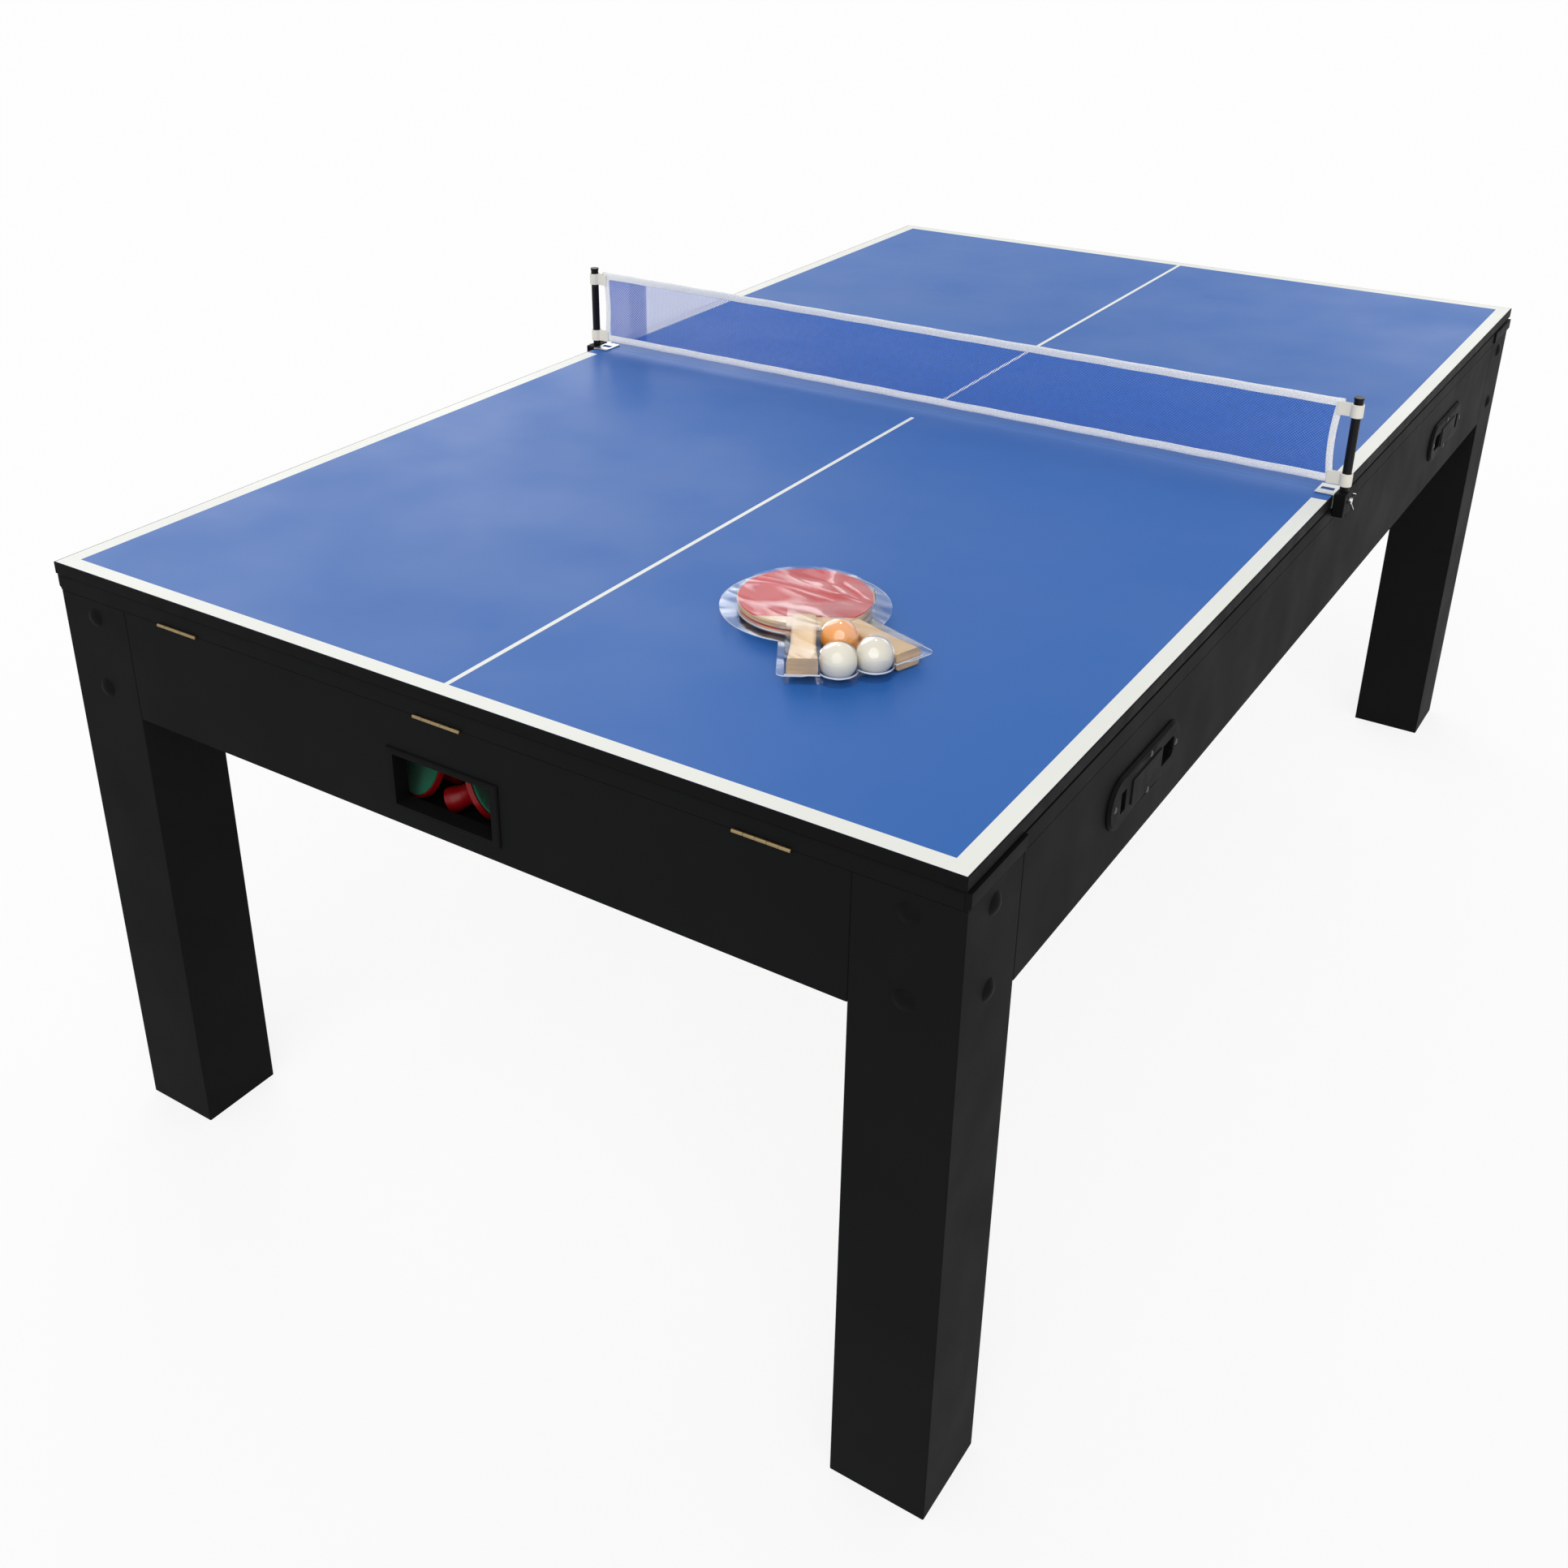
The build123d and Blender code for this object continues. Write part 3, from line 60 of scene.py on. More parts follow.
class Shader:
    """A principled material with object coordinates ready for procedural textures."""

    def __init__(self, name, colour, roughness, metallic=0.0, specular=0.5):
        self.material = bpy.data.materials.new(name)
        self.material.use_nodes = True
        self.tree = self.material.node_tree
        self.bsdf = self.tree.nodes["Principled BSDF"]
        self.colour = colour
        self.roughness = roughness
        self.set("Base Color", (*colour, 1.0))
        self.set("Roughness", roughness)
        self.set("Metallic", metallic)
        self.set("Specular IOR Level", specular)
        self.place = self.node("ShaderNodeTexCoord").outputs["Object"]
        self.height = None

    def set(self, socket, value):
        """Constant value of one of the shader's own sockets."""
        self.bsdf.inputs[socket].default_value = value

    def node(self, kind, **settings):
        """A new node with its settings."""
        made = self.tree.nodes.new(kind)
        for key, value in settings.items():
            setattr(made, key, value)
        return made

    def link(self, start, end):
        """Joins an output to an input."""
        self.tree.links.new(start, end)

    def stretched(self, stretch):
        """Coordinates scaled by a different share on each axis."""
        mapping = self.node("ShaderNodeMapping")
        mapping.inputs["Scale"].default_value = stretch
        self.link(self.place, mapping.inputs["Vector"])
        return mapping.outputs["Vector"]

    def noise(self, scale, detail=3.0, stretch=(1, 1, 1)):
        """Cloudy pattern from 0 to 1."""
        made = self.node("ShaderNodeTexNoise")
        made.inputs["Scale"].default_value = scale
        made.inputs["Detail"].default_value = detail
        self.link(self.stretched(stretch), made.inputs["Vector"])
        return made.outputs["Fac"]

    def cells(self, scale):
        """Distance to the nearest of many scattered points."""
        made = self.node("ShaderNodeTexVoronoi")
        made.inputs["Scale"].default_value = scale
        self.link(self.stretched((1, 1, 1)), made.inputs["Vector"])
        return made.outputs["Distance"]

    def math(self, operation, first, second=None):
        """Result of a sum on one or two values or outputs."""
        made = self.node("ShaderNodeMath", operation=operation)
        for index, value in enumerate((first, second)):
            if value is None:
                continue
            if isinstance(value, (int, float)):
                made.inputs[index].default_value = value
            else:
                self.link(value, made.inputs[index])
        return made.outputs[0]

    def ramp(self, fac, low, high, source=(0.3, 0.7)):
        """Value that goes from low to high while the pattern crosses the source range."""
        made = self.node("ShaderNodeMapRange")
        made.inputs["From Min"].default_value = source[0]
        made.inputs["From Max"].default_value = source[1]
        made.inputs["To Min"].default_value = low
        made.inputs["To Max"].default_value = high
        self.link(fac, made.inputs["Value"])
        return made.outputs["Result"]

    def mix(self, fac, first, second):
        """Colour between two colours."""
        made = self.node("ShaderNodeMix", data_type="RGBA")
        sockets = {"A": first, "B": second}
        for key, value in sockets.items():
            socket = [s for s in made.inputs if s.name == key and s.type == "RGBA"][0]
            if isinstance(value, tuple):
                socket.default_value = (*value, 1.0)
            else:
                self.link(value, socket)
        self.link(fac, made.inputs[0])
        return [s for s in made.outputs if s.type == "RGBA"][0]

    def seen_rays(self):
        """One for a ray from the camera, a mirror or clear film, zero for other light."""
        path = self.node("ShaderNodeLightPath")
        mirrored = self.math("MAXIMUM", path.outputs["Is Camera Ray"], path.outputs["Is Glossy Ray"])
        return self.math("MAXIMUM", mirrored, path.outputs["Is Transmission Ray"])

    def mix_surface(self, fac, first, second):
        """Output that blends two shaders."""
        mix = self.node("ShaderNodeMixShader")
        self.link(fac, mix.inputs["Fac"])
        self.link(first, mix.inputs[1])
        self.link(second, mix.inputs[2])
        self.link(mix.outputs["Shader"], self.tree.nodes["Material Output"].inputs["Surface"])

    def vary_colour(self, fac, share):
        """Colour that drifts a little darker and lighter with a pattern."""
        dark = tuple(c * (1 - share) for c in self.colour)
        pale = tuple(min(1.0, c * (1 + share)) for c in self.colour)
        self.link(self.mix(self.ramp(fac, 0, 1), dark, pale), self.bsdf.inputs["Base Color"])

    def vary_roughness(self, fac, change):
        """Roughness that drifts with a pattern."""
        low = max(LEAST_ROUGHNESS, self.roughness - change)
        high = min(1.0, self.roughness + change)
        self.link(self.ramp(fac, low, high), self.bsdf.inputs["Roughness"])

    def bump(self, height, distance, strength=1.0):
        """Fine relief on top of any relief that is there."""
        made = self.node("ShaderNodeBump")
        made.inputs["Distance"].default_value = distance
        made.inputs["Strength"].default_value = strength
        self.link(height, made.inputs["Height"])
        if self.height is not None:
            self.link(self.height, made.inputs["Normal"])
        self.height = made.outputs["Normal"]
        self.link(self.height, self.bsdf.inputs["Normal"])


# Patterns of a surface: (scale, detail) of the noise and how much it changes tone, gloss and relief

Finish = namedtuple("Finish", "tone tone_share gloss gloss_change grain grain_depth grain_strength")

PRESSED = Finish(tone=(3.0, 3.0), tone_share=0.03, gloss=(9.0, 4.0), gloss_change=0.05,
                 grain=(900.0, 2.0), grain_depth=0.05 * MM, grain_strength=0.6)
ORANGE_PEEL = Finish(tone=(1.4, 2.0), tone_share=0.03, gloss=(7.0, 4.0), gloss_change=0.05,
                     grain=(1100.0, 2.0), grain_depth=0.04 * MM, grain_strength=0.5)
FIBRES = Finish(tone=(60.0, 6.0), tone_share=0.18, gloss=(20.0, 3.0), gloss_change=0.06,
                grain=(700.0, 4.0), grain_depth=0.15 * MM, grain_strength=0.8)
SPARKED = Finish(tone=(15.0, 3.0), tone_share=0.06, gloss=(40.0, 4.0), gloss_change=0.05,
                 grain=(1500.0, 2.0), grain_depth=0.08 * MM, grain_strength=0.6)
POLISHED = SPARKED._replace(grain_depth=0.02 * MM)


def textured(name, colour, roughness, finish, specular=0.5):
    """Board, paint or plastic with a drift of tone and gloss and a fine relief."""
    made = Shader(name, colour, roughness, specular=specular)
    made.vary_colour(made.noise(*finish.tone), finish.tone_share)
    made.vary_roughness(made.noise(*finish.gloss), finish.gloss_change)
    made.bump(made.noise(*finish.grain), finish.grain_depth, finish.grain_strength)
    return made


METAL_LINES = (400.0, 3.0)
METAL_TONE_SCALE = 30.0
METAL_TONE_SHARE = 0.06
METAL_GLOSS_CHANGE = 0.07
METAL_LINE_DEPTH = 0.02 * MM
METAL_LINE_STRENGTH = 0.5


def metal(name, colour, roughness, stretch=(1, 1, 1)):
    """Metal with faint drawn lines."""
    made = Shader(name, colour, roughness, metallic=1.0)
    lines = made.noise(*METAL_LINES, stretch)
    made.vary_colour(made.noise(METAL_TONE_SCALE), METAL_TONE_SHARE)
    made.vary_roughness(lines, METAL_GLOSS_CHANGE)
    made.bump(lines, METAL_LINE_DEPTH, METAL_LINE_STRENGTH)
    return made


CLOTH_ROUGHNESS = 0.9
CLOTH_SPECULAR = 0.2
CLOTH_SHEEN = 0.25
CLOTH_TONE = (120.0, 4.0)
CLOTH_TONE_SHARE = 0.12
CLOTH_GLOSS_SCALE = 60.0
CLOTH_GLOSS_CHANGE = 0.05
CLOTH_DEPTH_SHARE = 0.3
CLOTH_STRENGTH = 0.8


def cloth(name, colour, thread):
    """Woven or felted cloth with threads of the given width."""
    made = Shader(name, colour, CLOTH_ROUGHNESS, specular=CLOTH_SPECULAR)
    made.set("Sheen Weight", CLOTH_SHEEN)
    made.vary_colour(made.noise(*CLOTH_TONE), CLOTH_TONE_SHARE)
    made.vary_roughness(made.noise(CLOTH_GLOSS_SCALE), CLOTH_GLOSS_CHANGE)
    made.bump(made.cells(1.0 / thread), thread * CLOTH_DEPTH_SHARE, CLOTH_STRENGTH)
    return made


PLY_ROUGHNESS = 0.5
PLY_SPECULAR = 0.4
PLY_RINGS = (60.0, 5.0)
PLY_STRETCH = (0.25, 0.25, 2.5)
PLY_TONE_SHARE = 0.22
PLY_PORES = (150.0, 3.0)
PLY_GLOSS_CHANGE = 0.08
PLY_DEPTH = 0.05 * MM
PLY_STRENGTH = 0.6


def light_ply(name, colour):
    """Pale veneer with long grain and fine pores."""
    made = Shader(name, colour, PLY_ROUGHNESS, specular=PLY_SPECULAR)
    rings = made.noise(*PLY_RINGS, PLY_STRETCH)
    made.vary_colour(rings, PLY_TONE_SHARE)
    made.vary_roughness(made.noise(*PLY_PORES), PLY_GLOSS_CHANGE)
    made.bump(rings, PLY_DEPTH, PLY_STRENGTH)
    return made


RUBBER_ROUGHNESS = 0.50
RUBBER_SPECULAR = 0.25
RUBBER_TONE = (25.0, 3.0)
RUBBER_TONE_SHARE = 0.12
RUBBER_GLOSS_SCALE = 50.0
RUBBER_GLOSS_CHANGE = 0.10
RUBBER_PIPS = 550.0
RUBBER_DEPTH = 0.05 * MM
RUBBER_STRENGTH = 0.5


def dimpled_rubber(name, colour):
    """Rubber sheet under film, faintly uneven."""
    made = Shader(name, colour, RUBBER_ROUGHNESS, specular=RUBBER_SPECULAR)
    made.vary_colour(made.noise(*RUBBER_TONE), RUBBER_TONE_SHARE)
    made.vary_roughness(made.noise(RUBBER_GLOSS_SCALE), RUBBER_GLOSS_CHANGE)
    made.bump(made.cells(RUBBER_PIPS), RUBBER_DEPTH, RUBBER_STRENGTH)
    return made


FILM_COLOUR = (0.93, 0.95, 0.97)
FILM_ROUGHNESS = 0.07
FILM_GLOSS_SCALE = 30.0
FILM_GLOSS_CHANGE = 0.03
CREASE_SETTINGS = {"Scale": 13.0, "Detail": 0.8, "Distortion": 1.6}
CREASE_STRETCH = (0.8, 1.9, 1.0)
CREASE_HEIGHT = 2.0 * MM
FACING_RANGE = (0.62, 0.98)
FACING_SHARE = (0.05, 0.80)
STREAK_RANGE = (0.44, 0.66)
STREAK_FACTOR = (0.4, 2.2)
# Painted highlight on the flange edge: upright faces (normal z below this) shown near-white at this share
UPRIGHT_NORMAL = 0.5
RIM_HIGHLIGHT_SHARE = 0.85


def clear_film(name, flange):
    """Thin clear film, seen by its glints and at a flat angle; the upright cut edge of its flange gets a
    painted highlight in white.
    """
    made = Shader(name, FILM_COLOUR, FILM_ROUGHNESS, metallic=1.0)
    clear = made.node("ShaderNodeBsdfTransparent")
    facing = made.node("ShaderNodeLayerWeight")
    creases = made.node("ShaderNodeTexNoise")
    for socket, value in CREASE_SETTINGS.items():
        creases.inputs[socket].default_value = value
    made.link(made.stretched(CREASE_STRETCH), creases.inputs["Vector"])
    shine = made.ramp(facing.outputs["Facing"], *FACING_SHARE, FACING_RANGE)
    streaks = made.ramp(creases.outputs["Fac"], *STREAK_FACTOR, STREAK_RANGE)
    place = made.node("ShaderNodeSeparateXYZ")
    made.link(made.place, place.inputs["Vector"])
    normal = made.node("ShaderNodeSeparateXYZ")
    made.link(made.place.node.outputs["Normal"], normal.inputs["Vector"])
    # Painted highlight: upright faces between the flange levels turn non-metallic near-white, a white band
    # standing in for the bright light along the film's rim
    above = made.math("GREATER_THAN", place.outputs["Z"], flange[0])
    below = made.math("LESS_THAN", place.outputs["Z"], flange[1])
    upright = made.math("LESS_THAN", made.math("ABSOLUTE", normal.outputs["Z"]), UPRIGHT_NORMAL)
    painted_rim_highlight = made.math("MULTIPLY", made.math("MULTIPLY", above, below), upright)
    made.link(made.math("SUBTRACT", 1.0, painted_rim_highlight), made.bsdf.inputs["Metallic"])
    share = made.math("MAXIMUM", made.math("MULTIPLY", shine, streaks), made.math("MULTIPLY", painted_rim_highlight, RIM_HIGHLIGHT_SHARE))
    made.mix_surface(share, clear.outputs["BSDF"], made.bsdf.outputs["BSDF"])
    made.vary_roughness(made.noise(FILM_GLOSS_SCALE), FILM_GLOSS_CHANGE)
    made.bump(creases.outputs["Fac"], CREASE_HEIGHT)
    return made


def woven_net(name, colour, cell, cord):
    """Fine diamond net: cords along both slants, open between."""
    made = cloth(name, colour, cord)
    made.set("Sheen Weight", 0.0)
    split = made.node("ShaderNodeSeparateXYZ")
    made.link(made.place, split.inputs["Vector"])
    lines = []
    for way in ("ADD", "SUBTRACT"):
        slant = made.math(way, split.outputs["X"], split.outputs["Z"])
        phase = made.math("FRACT", made.math("DIVIDE", slant, cell * math.sqrt(2)))
        lines.append(made.math("LESS_THAN", phase, cord / cell))
    cords = made.math("MAXIMUM", lines[0], lines[1])
    clear = made.node("ShaderNodeBsdfTransparent")
    made.mix_surface(cords, clear.outputs["BSDF"], made.bsdf.outputs["BSDF"])
    return made


CHECK_RANGE = (0.25, 0.6)
CHECK_TONE = 0.84


def tape_cloth(name, colour, thread):
    """White tape woven in small slanting checks."""
    made = cloth(name, colour, thread)
    checks = made.ramp(made.cells(1.0 / thread), 0, 1, CHECK_RANGE)
    shaded = tuple(CHECK_TONE * c for c in colour)
    made.link(made.mix(checks, colour, shaded), made.bsdf.inputs["Base Color"])
    return made


NET_CELL = 2.9 * MM
NET_CORD = 0.80 * MM
SHELL = "blister_shell"
FLANGE_LEVELS = (10.2 * MM, 11.8 * MM)
shell_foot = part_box(SHELL)[0].z - nodes[SHELL].matrix_world.translation.z
shell_flange = tuple(shell_foot + level for level in FLANGE_LEVELS)

# Colour, roughness, finish and specular level of the plain surfaces

TEXTURED = {
    "black_laminate": ((0.0062, 0.0065, 0.0068), 0.60, PRESSED, 0.035),
    "raw_board": ((0.33, 0.21, 0.12), 0.85, FIBRES, 0.2),
    "white_laminate": ((0.77, 0.78, 0.735), 0.38, PRESSED, 0.12),
    "rink_board": ((0.03, 0.03, 0.033), 0.45, PRESSED, 0.45),
    "black_plastic": ((0.0055, 0.0055, 0.0056), 0.52, SPARKED, 0.03),
    "black_screws": ((0.02, 0.02, 0.02), 0.35, SPARKED),
    "blue_top": ((0.023, 0.120, 0.41), 0.40, ORANGE_PEEL, 0.10),
    "rubber_pads": ((0.02, 0.02, 0.02), 0.75, SPARKED),
    "cream_plastic": ((0.74, 0.71, 0.62), 0.42, SPARKED),
    "black_posts": ((0.006, 0.006, 0.007), 0.34, SPARKED, 0.15),
    "orange_ball": ((0.95, 0.36, 0.05), 0.45, POLISHED),
    "white_balls": ((0.78, 0.73, 0.60), 0.45, POLISHED),
    "red_plastic": ((0.20, 0.002, 0.004), 0.34, POLISHED, 0.25),
}

# Kind and settings of the other surfaces

SPECIAL = {
    "zinc_steel": (metal, (0.45, 0.46, 0.47), 0.32),
    "brass": (metal, (0.32, 0.235, 0.12), 0.38, (0.1, 1, 1)),
    "lock_pads": (metal, (0.66, 0.52, 0.28), 0.32),
    "chrome": (metal, (0.62, 0.62, 0.64), 0.16),
    "cloth": (cloth, (0.02, 0.13, 0.07), 1.0 * MM),
    "green_felt": (cloth, (0.0, 0.135, 0.065), 0.7 * MM),
    "net_cord": (woven_net, (0.020, 0.120, 0.55), NET_CELL, NET_CORD),
    "net_tape": (tape_cloth, (0.95, 0.95, 0.95), 1.8 * MM),
    "clear_film": (clear_film, shell_flange),
    "racket_wood": (light_ply, (0.66, 0.45, 0.24)),
    "racket_rubber": (dimpled_rubber, (0.52, 0.050, 0.060)),
}

made_materials = {name: textured(name, *settings).material for name, settings in TEXTURED.items()}
for surface, (make, *settings) in SPECIAL.items():
    made_materials[surface] = make(surface, *settings).material


def paint(obj, slot):
    """Gives a piece its slot's material."""
    obj.data.materials.clear()
    obj.data.materials.append(made_materials[slot])


# CAD nodes: material, softened edges and smooth round faces

SHARP_ANGLE = math.radians(32)
EDGE_ROUND = 0.5 * MM
ROUNDER_EDGES = {"racket_woods": 1.2 * MM, "clamp_bodies": 1.0 * MM}
EDGE_SEGMENTS = 2
WELD_DISTANCE = 0.001 * MM
FLAT_FACE_WEIGHT = 60
PLAIN_NODES = ("net_mesh", "net_tapes")


def smooth_faces(obj):
    """Shades a piece's faces smooth."""
    for polygon in obj.data.polygons:
        polygon.use_smooth = True


def round_edges(obj, width, segments):
    """Rounds the sharp edges of a piece."""
    bevel = obj.modifiers.new("edges", "BEVEL")
    bevel.width = width
    bevel.segments = segments
    bevel.limit_method = "ANGLE"
    bevel.angle_limit = SHARP_ANGLE


def keep_faces_flat(obj):
    """Keeps large faces flat in smooth shading."""
    flat = obj.modifiers.new("flat_faces", "WEIGHTED_NORMAL")
    flat.keep_sharp = True
    return flat


def finish_node(name, obj):
    """Rounds a node's sharp edges a little and smooths its curved faces."""
    paint(obj, slot_of[name])
    if name in PLAIN_NODES:
        return
    smooth_faces(obj)
    if name == SHELL:
        return
    obj.modifiers.new("weld", "WELD").merge_threshold = WELD_DISTANCE
    round_edges(obj, ROUNDER_EDGES.get(name, EDGE_ROUND), EDGE_SEGMENTS)
    keep_faces_flat(obj).weight = FLAT_FACE_WEIGHT


for node_name, node_object in nodes.items():
    finish_node(node_name, node_object)


# Helpers for new pieces

def mesh_piece(name, build, slot, body, origin=(0, 0, 0)):
    """A new mesh made by a function that fills a bmesh, riding on a body."""
    mesh = bpy.data.meshes.new(name)
    form = bmesh.new()
    build(form)
    bmesh.ops.recalc_face_normals(form, faces=form.faces)
    bmesh.ops.translate(form, verts=form.verts, vec=-Vector(origin))
    form.to_mesh(mesh)
    form.free()
    obj = bpy.data.objects.new(name, mesh)
    obj.location = origin
    bpy.context.scene.collection.objects.link(obj)
    paint(obj, slot)
    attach(obj, body)
    return obj


def add_box(form, low, high):
    """Adds a box between two corners."""
    made = bmesh.ops.create_cube(form, size=1.0)
    size = Vector(high) - Vector(low)
    centre = (Vector(high) + Vector(low)) / 2
    for vertex in made["verts"]:
        vertex.co = Vector((vertex.co.x * size.x, vertex.co.y * size.y, vertex.co.z * size.z)) + centre


# Painted lines of the top

LINE_BORDER = 20.7 * MM
LINE_CENTRE = 6.0 * MM
LINE_STOP = 40.0 * MM
LINE_PAINT = 0.08 * MM


def half_lines(side):
    """Border on three sides and the centre line of one half; side is -1 at the near end."""
    low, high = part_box("tennis_top_near" if side < 0 else "tennis_top_far")
    reach_x = high.x
    reach_y = max(abs(low.y), abs(high.y))
    top = high.z

    def build(form):
        strips = [
            ((-reach_x, LINE_STOP), (-reach_x + LINE_BORDER, reach_y)),
            ((reach_x - LINE_BORDER, LINE_STOP), (reach_x, reach_y)),
            ((-reach_x + LINE_BORDER, reach_y - LINE_BORDER), (reach_x - LINE_BORDER, reach_y)),
            ((-LINE_CENTRE / 2, LINE_STOP), (LINE_CENTRE / 2, reach_y - LINE_BORDER)),
        ]
        for (x0, y0), (x1, y1) in strips:
            ys = sorted((side * y0, side * y1))
            add_box(form, (x0, ys[0], top), (x1, ys[1], top + LINE_PAINT))
    return build


mesh_piece("top_lines_near", half_lines(-1), "white_laminate", "tennis_top")
mesh_piece("top_lines_far", half_lines(1), "white_laminate", "tennis_top")


# Net and its sewn binding

NET_BOW = 5.5 * MM
NET_COLUMNS = 120
NET_ROWS = 10
NET_SLACK = 0.5 * MM
NET_WAVES = 9
BIND_STEP = 12.0 * MM
BIND_SIDE_STEPS = 12
BIND_THICKNESS = 1.5 * MM
BIND_RIPPLE = 0.25 * MM
BIND_RIPPLE_RATE = 70

# Shares of the tape's width and of its half thickness, from the outer fold to the inner edge
BIND_SECTION = ((0.0, 0.35), (0.06, 0.85), (0.3, 1.0), (0.72, 0.95), (0.82, 0.55), (0.92, 0.8), (1.0, 0.4))


def side_curve(reach, low, high, count):
    """Points of a side edge that bows inward, from bottom to top."""
    points = []
    for index in range(count + 1):
        share = index / count
        inward = NET_BOW * (1 - (2 * share - 1) ** 2)
        points.append((reach - inward, low + (high - low) * share))
    return points


def net_sheet():
    """Net panel stretched between the tapes, slightly slack in places."""
    low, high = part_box("net_mesh")
    height = high.z - low.z

    def build(form):
        grid = []
        for reach, z in side_curve(high.x, low.z, high.z, NET_ROWS):
            row = []
            for column in range(NET_COLUMNS + 1):
                across = 2 * column / NET_COLUMNS - 1
                y = NET_SLACK * math.sin(NET_WAVES * across) * math.sin(math.pi * (z - low.z) / height)
                row.append(form.verts.new((reach * across, y, z)))
            grid.append(row)
        for lower, upper in zip(grid, grid[1:]):
            for column in range(NET_COLUMNS):
                form.faces.new((lower[column], lower[column + 1], upper[column + 1], upper[column]))
    net = mesh_piece("net_weave", build, "net_cord", "net")
    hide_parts("net_mesh")


def add_binding(form, points, inward, width):
    """Tape along points in the XZ plane; inward is the way to its inner edge."""
    section = [(share * width, swell * BIND_THICKNESS / 2) for share, swell in BIND_SECTION]
    ring = section + [(depth, -y) for depth, y in reversed(section)]
    way_x, way_z = inward
    loops = []
    for x, z in points:
        loops.append([form.verts.new((x + way_x * depth, y, z + way_z * depth)) for depth, y in ring])
    for first, second in zip(loops, loops[1:]):
        for index in range(len(ring)):
            after = (index + 1) % len(ring)
            form.faces.new((first[index], first[after], second[after], second[index]))
    form.faces.new(loops[0])
    form.faces.new(list(reversed(loops[-1])))


def net_binding():
    """White tape sewn round the net, with a slight ripple along it."""
    low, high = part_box("net_tapes")
    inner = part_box("net_mesh")[1]
    width = high.z - inner.z
    side_width = high.x - inner.x
    count = round(2 * high.x / BIND_STEP)

    def build(form):
        for edge, way in ((high.z, -1), (low.z, 1)):
            points = []
            for index in range(count + 1):
                x = high.x * (2 * index / count - 1)
                points.append((x, edge + way * BIND_RIPPLE * (1 + math.sin(BIND_RIPPLE_RATE * x + way))))
            add_binding(form, points, (0, way), width)
        for side in (-1, 1):
            curve = side_curve(high.x, low.z, high.z, BIND_SIDE_STEPS)
            add_binding(form, [(side * x, z) for x, z in curve], (-side, 0), side_width)
    tape = mesh_piece("net_binding", build, "net_tape", "net")
    smooth_faces(tape)
    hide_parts("net_tapes")


# Section of the folded net seen from above, in mm
NET_FOLD = ((-589.0, 0.9), (-522.0, 1.1), (-517.0, 1.2), (-515.5, 1.45), (-517.0, 1.7), (-550.0, 1.8))
NET_FOLD_SHIFT = 2.1 * MM


def net_fold():
    """Spare end of the net, folded back behind it beside the left post."""
    low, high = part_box("net_mesh")
    section = [(x * MM, y * MM) for x, y in NET_FOLD]

    def build(form):
        rows = [[form.verts.new((x, y, z)) for z in (low.z, high.z)] for x, y in section]
        for first, second in zip(rows, rows[1:]):
            form.faces.new((first[0], second[0], second[1], first[1]))
    fold = mesh_piece("net_fold", build, "net_cord", "net", (NET_FOLD_SHIFT, 0, 0))


net_binding()
net_sheet()
net_fold()


# Cloth on the pool bed, cushions and felts of the pushers

CLOTH_EDGE = 0.3 * MM
CLOTH_EDGE_SEGMENTS = 2
CUSHION_EDGE = 3.0 * MM
CUSHION_EDGE_SEGMENTS = 3
UPWARD = 0.9
JOIN_DISTANCE = 0.01 * MM
FELT_SIDES = 64
FELT_SECTION = ((0.0, 1.0), (0.35, 0.97), (0.7, 1.0), (0.93, 0.98), (0.98, 0.9), (1.0, 0.68), (1.0, 0.0))


def placed_faces(node):
    """Corner points, normal and area of each face of a CAD node, in the shared frame."""
    source = nodes[node]
    place = source.matrix_world
    turn = place.to_3x3()
    mesh = source.data
    faces = []
    for face in mesh.polygons:
        points = [place @ mesh.vertices[index].co for index in face.vertices]
        faces.append((points, (turn @ face.normal).normalized(), face.area))
    return faces


def add_faces(form, faces):
    """Adds faces given by their corner points and joins their shared corners."""
    for points in faces:
        form.faces.new([form.verts.new(point) for point in points])
    bmesh.ops.remove_doubles(form, verts=form.verts, dist=JOIN_DISTANCE)


def pool_cloth():
    """Cloth stretched over the pool bed, cut round the pockets."""
    low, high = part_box("bed_cloth")
    upper = [points for points, normal, _ in placed_faces("bed_cloth") if normal.z > UPWARD]
    lay = mesh_piece("pool_cloth", lambda form: add_faces(form, upper), "cloth", "play_deck")
    if lay.data.polygons[0].normal.z < 0:
        lay.data.flip_normals()
    thick = lay.modifiers.new("thickness", "SOLIDIFY")
    thick.thickness = high.z - low.z
    thick.offset = -1
    round_edges(lay, CLOTH_EDGE, CLOTH_EDGE_SEGMENTS)
    smooth_faces(lay)
    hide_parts("bed_cloth")


def cushion_cover(node):
    """Rubber cushions under tight cloth, with a rounded nose."""
    faces = [points for points, _, _ in placed_faces(node)]
    cover = mesh_piece(node + "_covered", lambda form: add_faces(form, faces), "cloth", "play_deck")
    round_edges(cover, CUSHION_EDGE, CUSHION_EDGE_SEGMENTS)
    smooth_faces(cover)
    keep_faces_flat(cover)
    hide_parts(node)


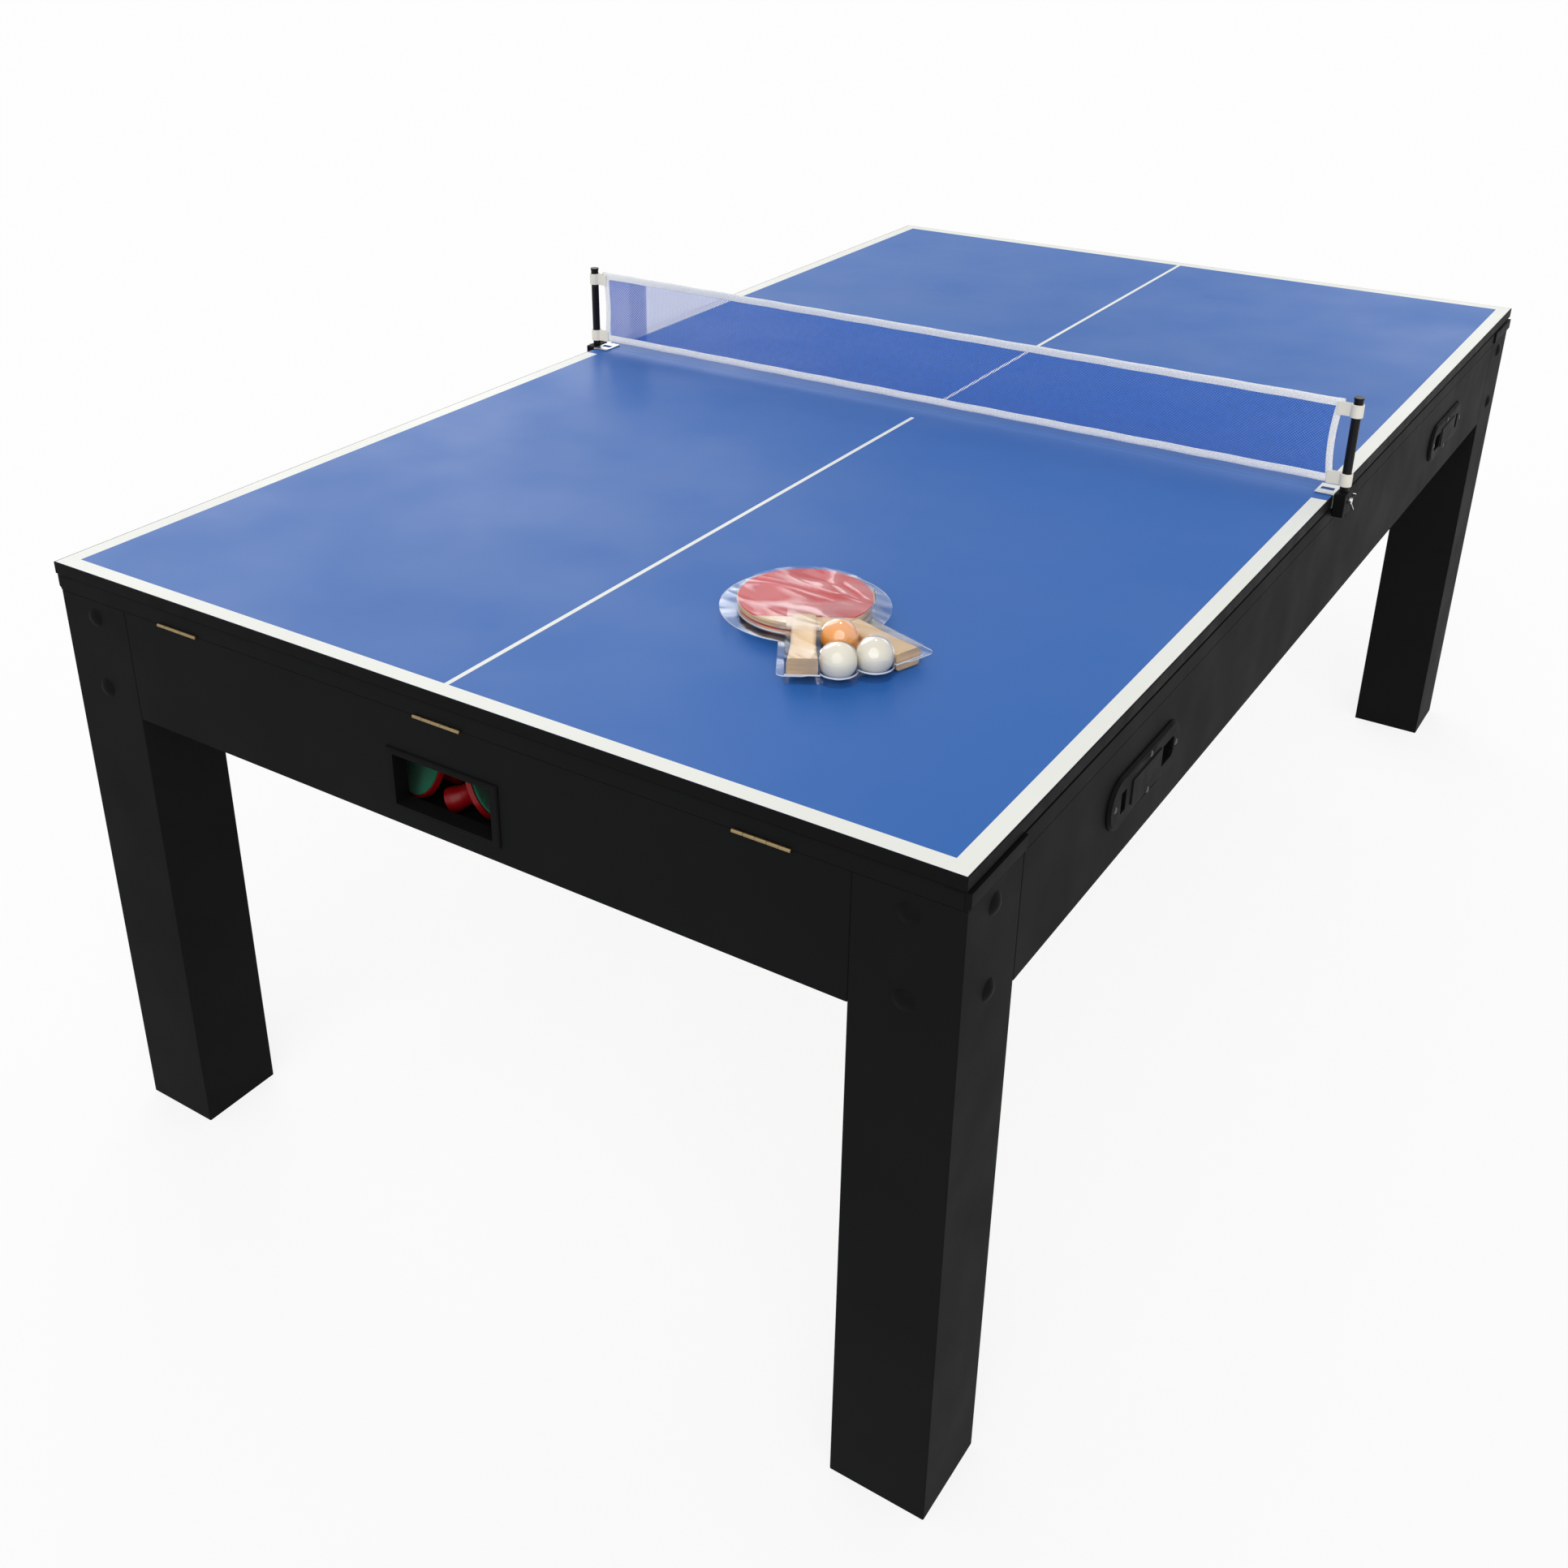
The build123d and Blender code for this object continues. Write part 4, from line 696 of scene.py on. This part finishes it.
def pusher_felt(side):
    """Round felt with a rolled edge under a pusher."""
    node = f"pusher_felt_{side}"
    faces = placed_faces(node)
    middle = sum(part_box(node), Vector()) / 2
    away = middle - sum(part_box(f"pusher_{side}"), Vector()) / 2
    outward = max((face for face in faces if face[1].dot(away) > 0), key=lambda face: face[2])[1]
    corners = [point - middle for points, _, _ in faces for point in points]
    thickness = 2 * max(corner.dot(outward) for corner in corners)
    radius = max((corner - outward * corner.dot(outward)).length for corner in corners)
    turn = outward.to_track_quat("Z", "Y")

    def build(form):
        rings = []
        for share, height in FELT_SECTION:
            ring = []
            for index in range(FELT_SIDES):
                angle = math.tau * index / FELT_SIDES
                ring.append(Vector((radius * share * math.cos(angle), radius * share * math.sin(angle),
                                    thickness * (height - 0.5))))
            rings.append(ring)
        made = [[form.verts.new(middle + turn @ point) for point in ring] for ring in rings[1:]]
        for inner, outer in zip(made, made[1:]):
            for index in range(FELT_SIDES):
                after = (index + 1) % FELT_SIDES
                form.faces.new((inner[index], outer[index], outer[after], inner[after]))
        centre = form.verts.new(middle + turn @ rings[0][0])
        for index in range(FELT_SIDES):
            form.faces.new((centre, made[0][index], made[0][(index + 1) % FELT_SIDES]))
        form.faces.new(made[-1])
    felt = mesh_piece(f"felt_{side}", build, "green_felt", f"pusher_{side}")
    smooth_faces(felt)
    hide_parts(node)


pool_cloth()
cushion_cover("end_cushions")
cushion_cover("side_cushions")
pusher_felt("left")
pusher_felt("right")


# Floor, light and background

FLOOR_SIDE = 40.0
FLOOR_COLOUR = (0.90, 0.90, 0.90)
FLOOR_ROUGHNESS = 0.9
FLOOR_WHITE = 0.82
WORLD_SEEN = 1.0
WORLD_LIGHT = 0.60

# Lamps: where they stand, strength and spread in degrees
LAMPS = {
    "front_light": ((0.5, -1.2, 1.1), 1.4, 60),
    "glare_light": ((-1.3, 1.0, 0.75), 0.75, 40),
    "glint_light": ((-0.35, 0.8, 1.0), 0.14, 6),
    "far_light": ((-0.15, 3.3, 0.82), 0.14, 25),
}


def stage_floor():
    """Pale floor that keeps the table's shadow and looks white to the camera."""
    bpy.ops.mesh.primitive_plane_add(size=FLOOR_SIDE, location=(0, 0, 0))
    floor = bpy.context.object
    floor.name = "floor"
    shader = Shader("floor", FLOOR_COLOUR, FLOOR_ROUGHNESS, specular=0.0)
    glow = shader.node("ShaderNodeEmission")
    share = shader.math("MULTIPLY", shader.seen_rays(), FLOOR_WHITE)
    shader.mix_surface(share, shader.bsdf.outputs["BSDF"], glow.outputs["Emission"])
    floor.data.materials.append(shader.material)


def pale_world(seen, light):
    """World that is white to the camera and plain for the light."""
    world = bpy.data.worlds.new("world")
    bpy.context.scene.world = world
    world.use_nodes = True
    tree = world.node_tree
    background = tree.nodes["Background"]
    background.inputs["Color"].default_value = (1, 1, 1, 1)
    path = tree.nodes.new("ShaderNodeLightPath")
    mix = tree.nodes.new("ShaderNodeMapRange")
    mix.inputs["To Min"].default_value = light
    mix.inputs["To Max"].default_value = seen
    seen_ray = path.outputs["Is Camera Ray"]
    for other in ("Is Glossy Ray", "Is Transmission Ray"):
        larger = tree.nodes.new("ShaderNodeMath")
        larger.operation = "MAXIMUM"
        tree.links.new(seen_ray, larger.inputs[0])
        tree.links.new(path.outputs[other], larger.inputs[1])
        seen_ray = larger.outputs[0]
    tree.links.new(seen_ray, mix.inputs["Value"])
    tree.links.new(mix.outputs["Result"], background.inputs["Strength"])


def sun_lamp(name, toward, strength, spread):
    """Very soft distant light that comes from a direction."""
    data = bpy.data.lights.new(name, "SUN")
    data.energy = strength
    data.angle = math.radians(spread)
    lamp = bpy.data.objects.new(name, data)
    bpy.context.scene.collection.objects.link(lamp)
    lamp.rotation_euler = (-Vector(toward)).to_track_quat("-Z", "Y").to_euler()


stage_floor()
for lamp_name, lamp_settings in LAMPS.items():
    sun_lamp(lamp_name, *lamp_settings)
pale_world(WORLD_SEEN, WORLD_LIGHT)


# Camera solved from the photograph's straight edges

CAMERA_PLACE = (1.1151, -2.2145, 1.6383)
CAMERA_TURN = (63.9405, 0.1319, 33.8027)
FOCAL_PIXELS = 2115.4
CENTRE_PIXELS = (887.58, 786.75)

camera_data = bpy.data.cameras.new("camera")
camera_data.sensor_width = SENSOR
camera_data.lens = SENSOR * FOCAL_PIXELS / IMAGE_SIDE
camera_data.shift_x = (IMAGE_SIDE / 2 - CENTRE_PIXELS[0]) / IMAGE_SIDE
camera_data.shift_y = (CENTRE_PIXELS[1] - IMAGE_SIDE / 2) / IMAGE_SIDE
camera = bpy.data.objects.new("camera", camera_data)
bpy.context.scene.collection.objects.link(camera)
camera.location = CAMERA_PLACE
camera.rotation_euler = [math.radians(angle) for angle in CAMERA_TURN]
bpy.context.scene.camera = camera
bpy.context.scene.view_settings.view_transform = "Standard"
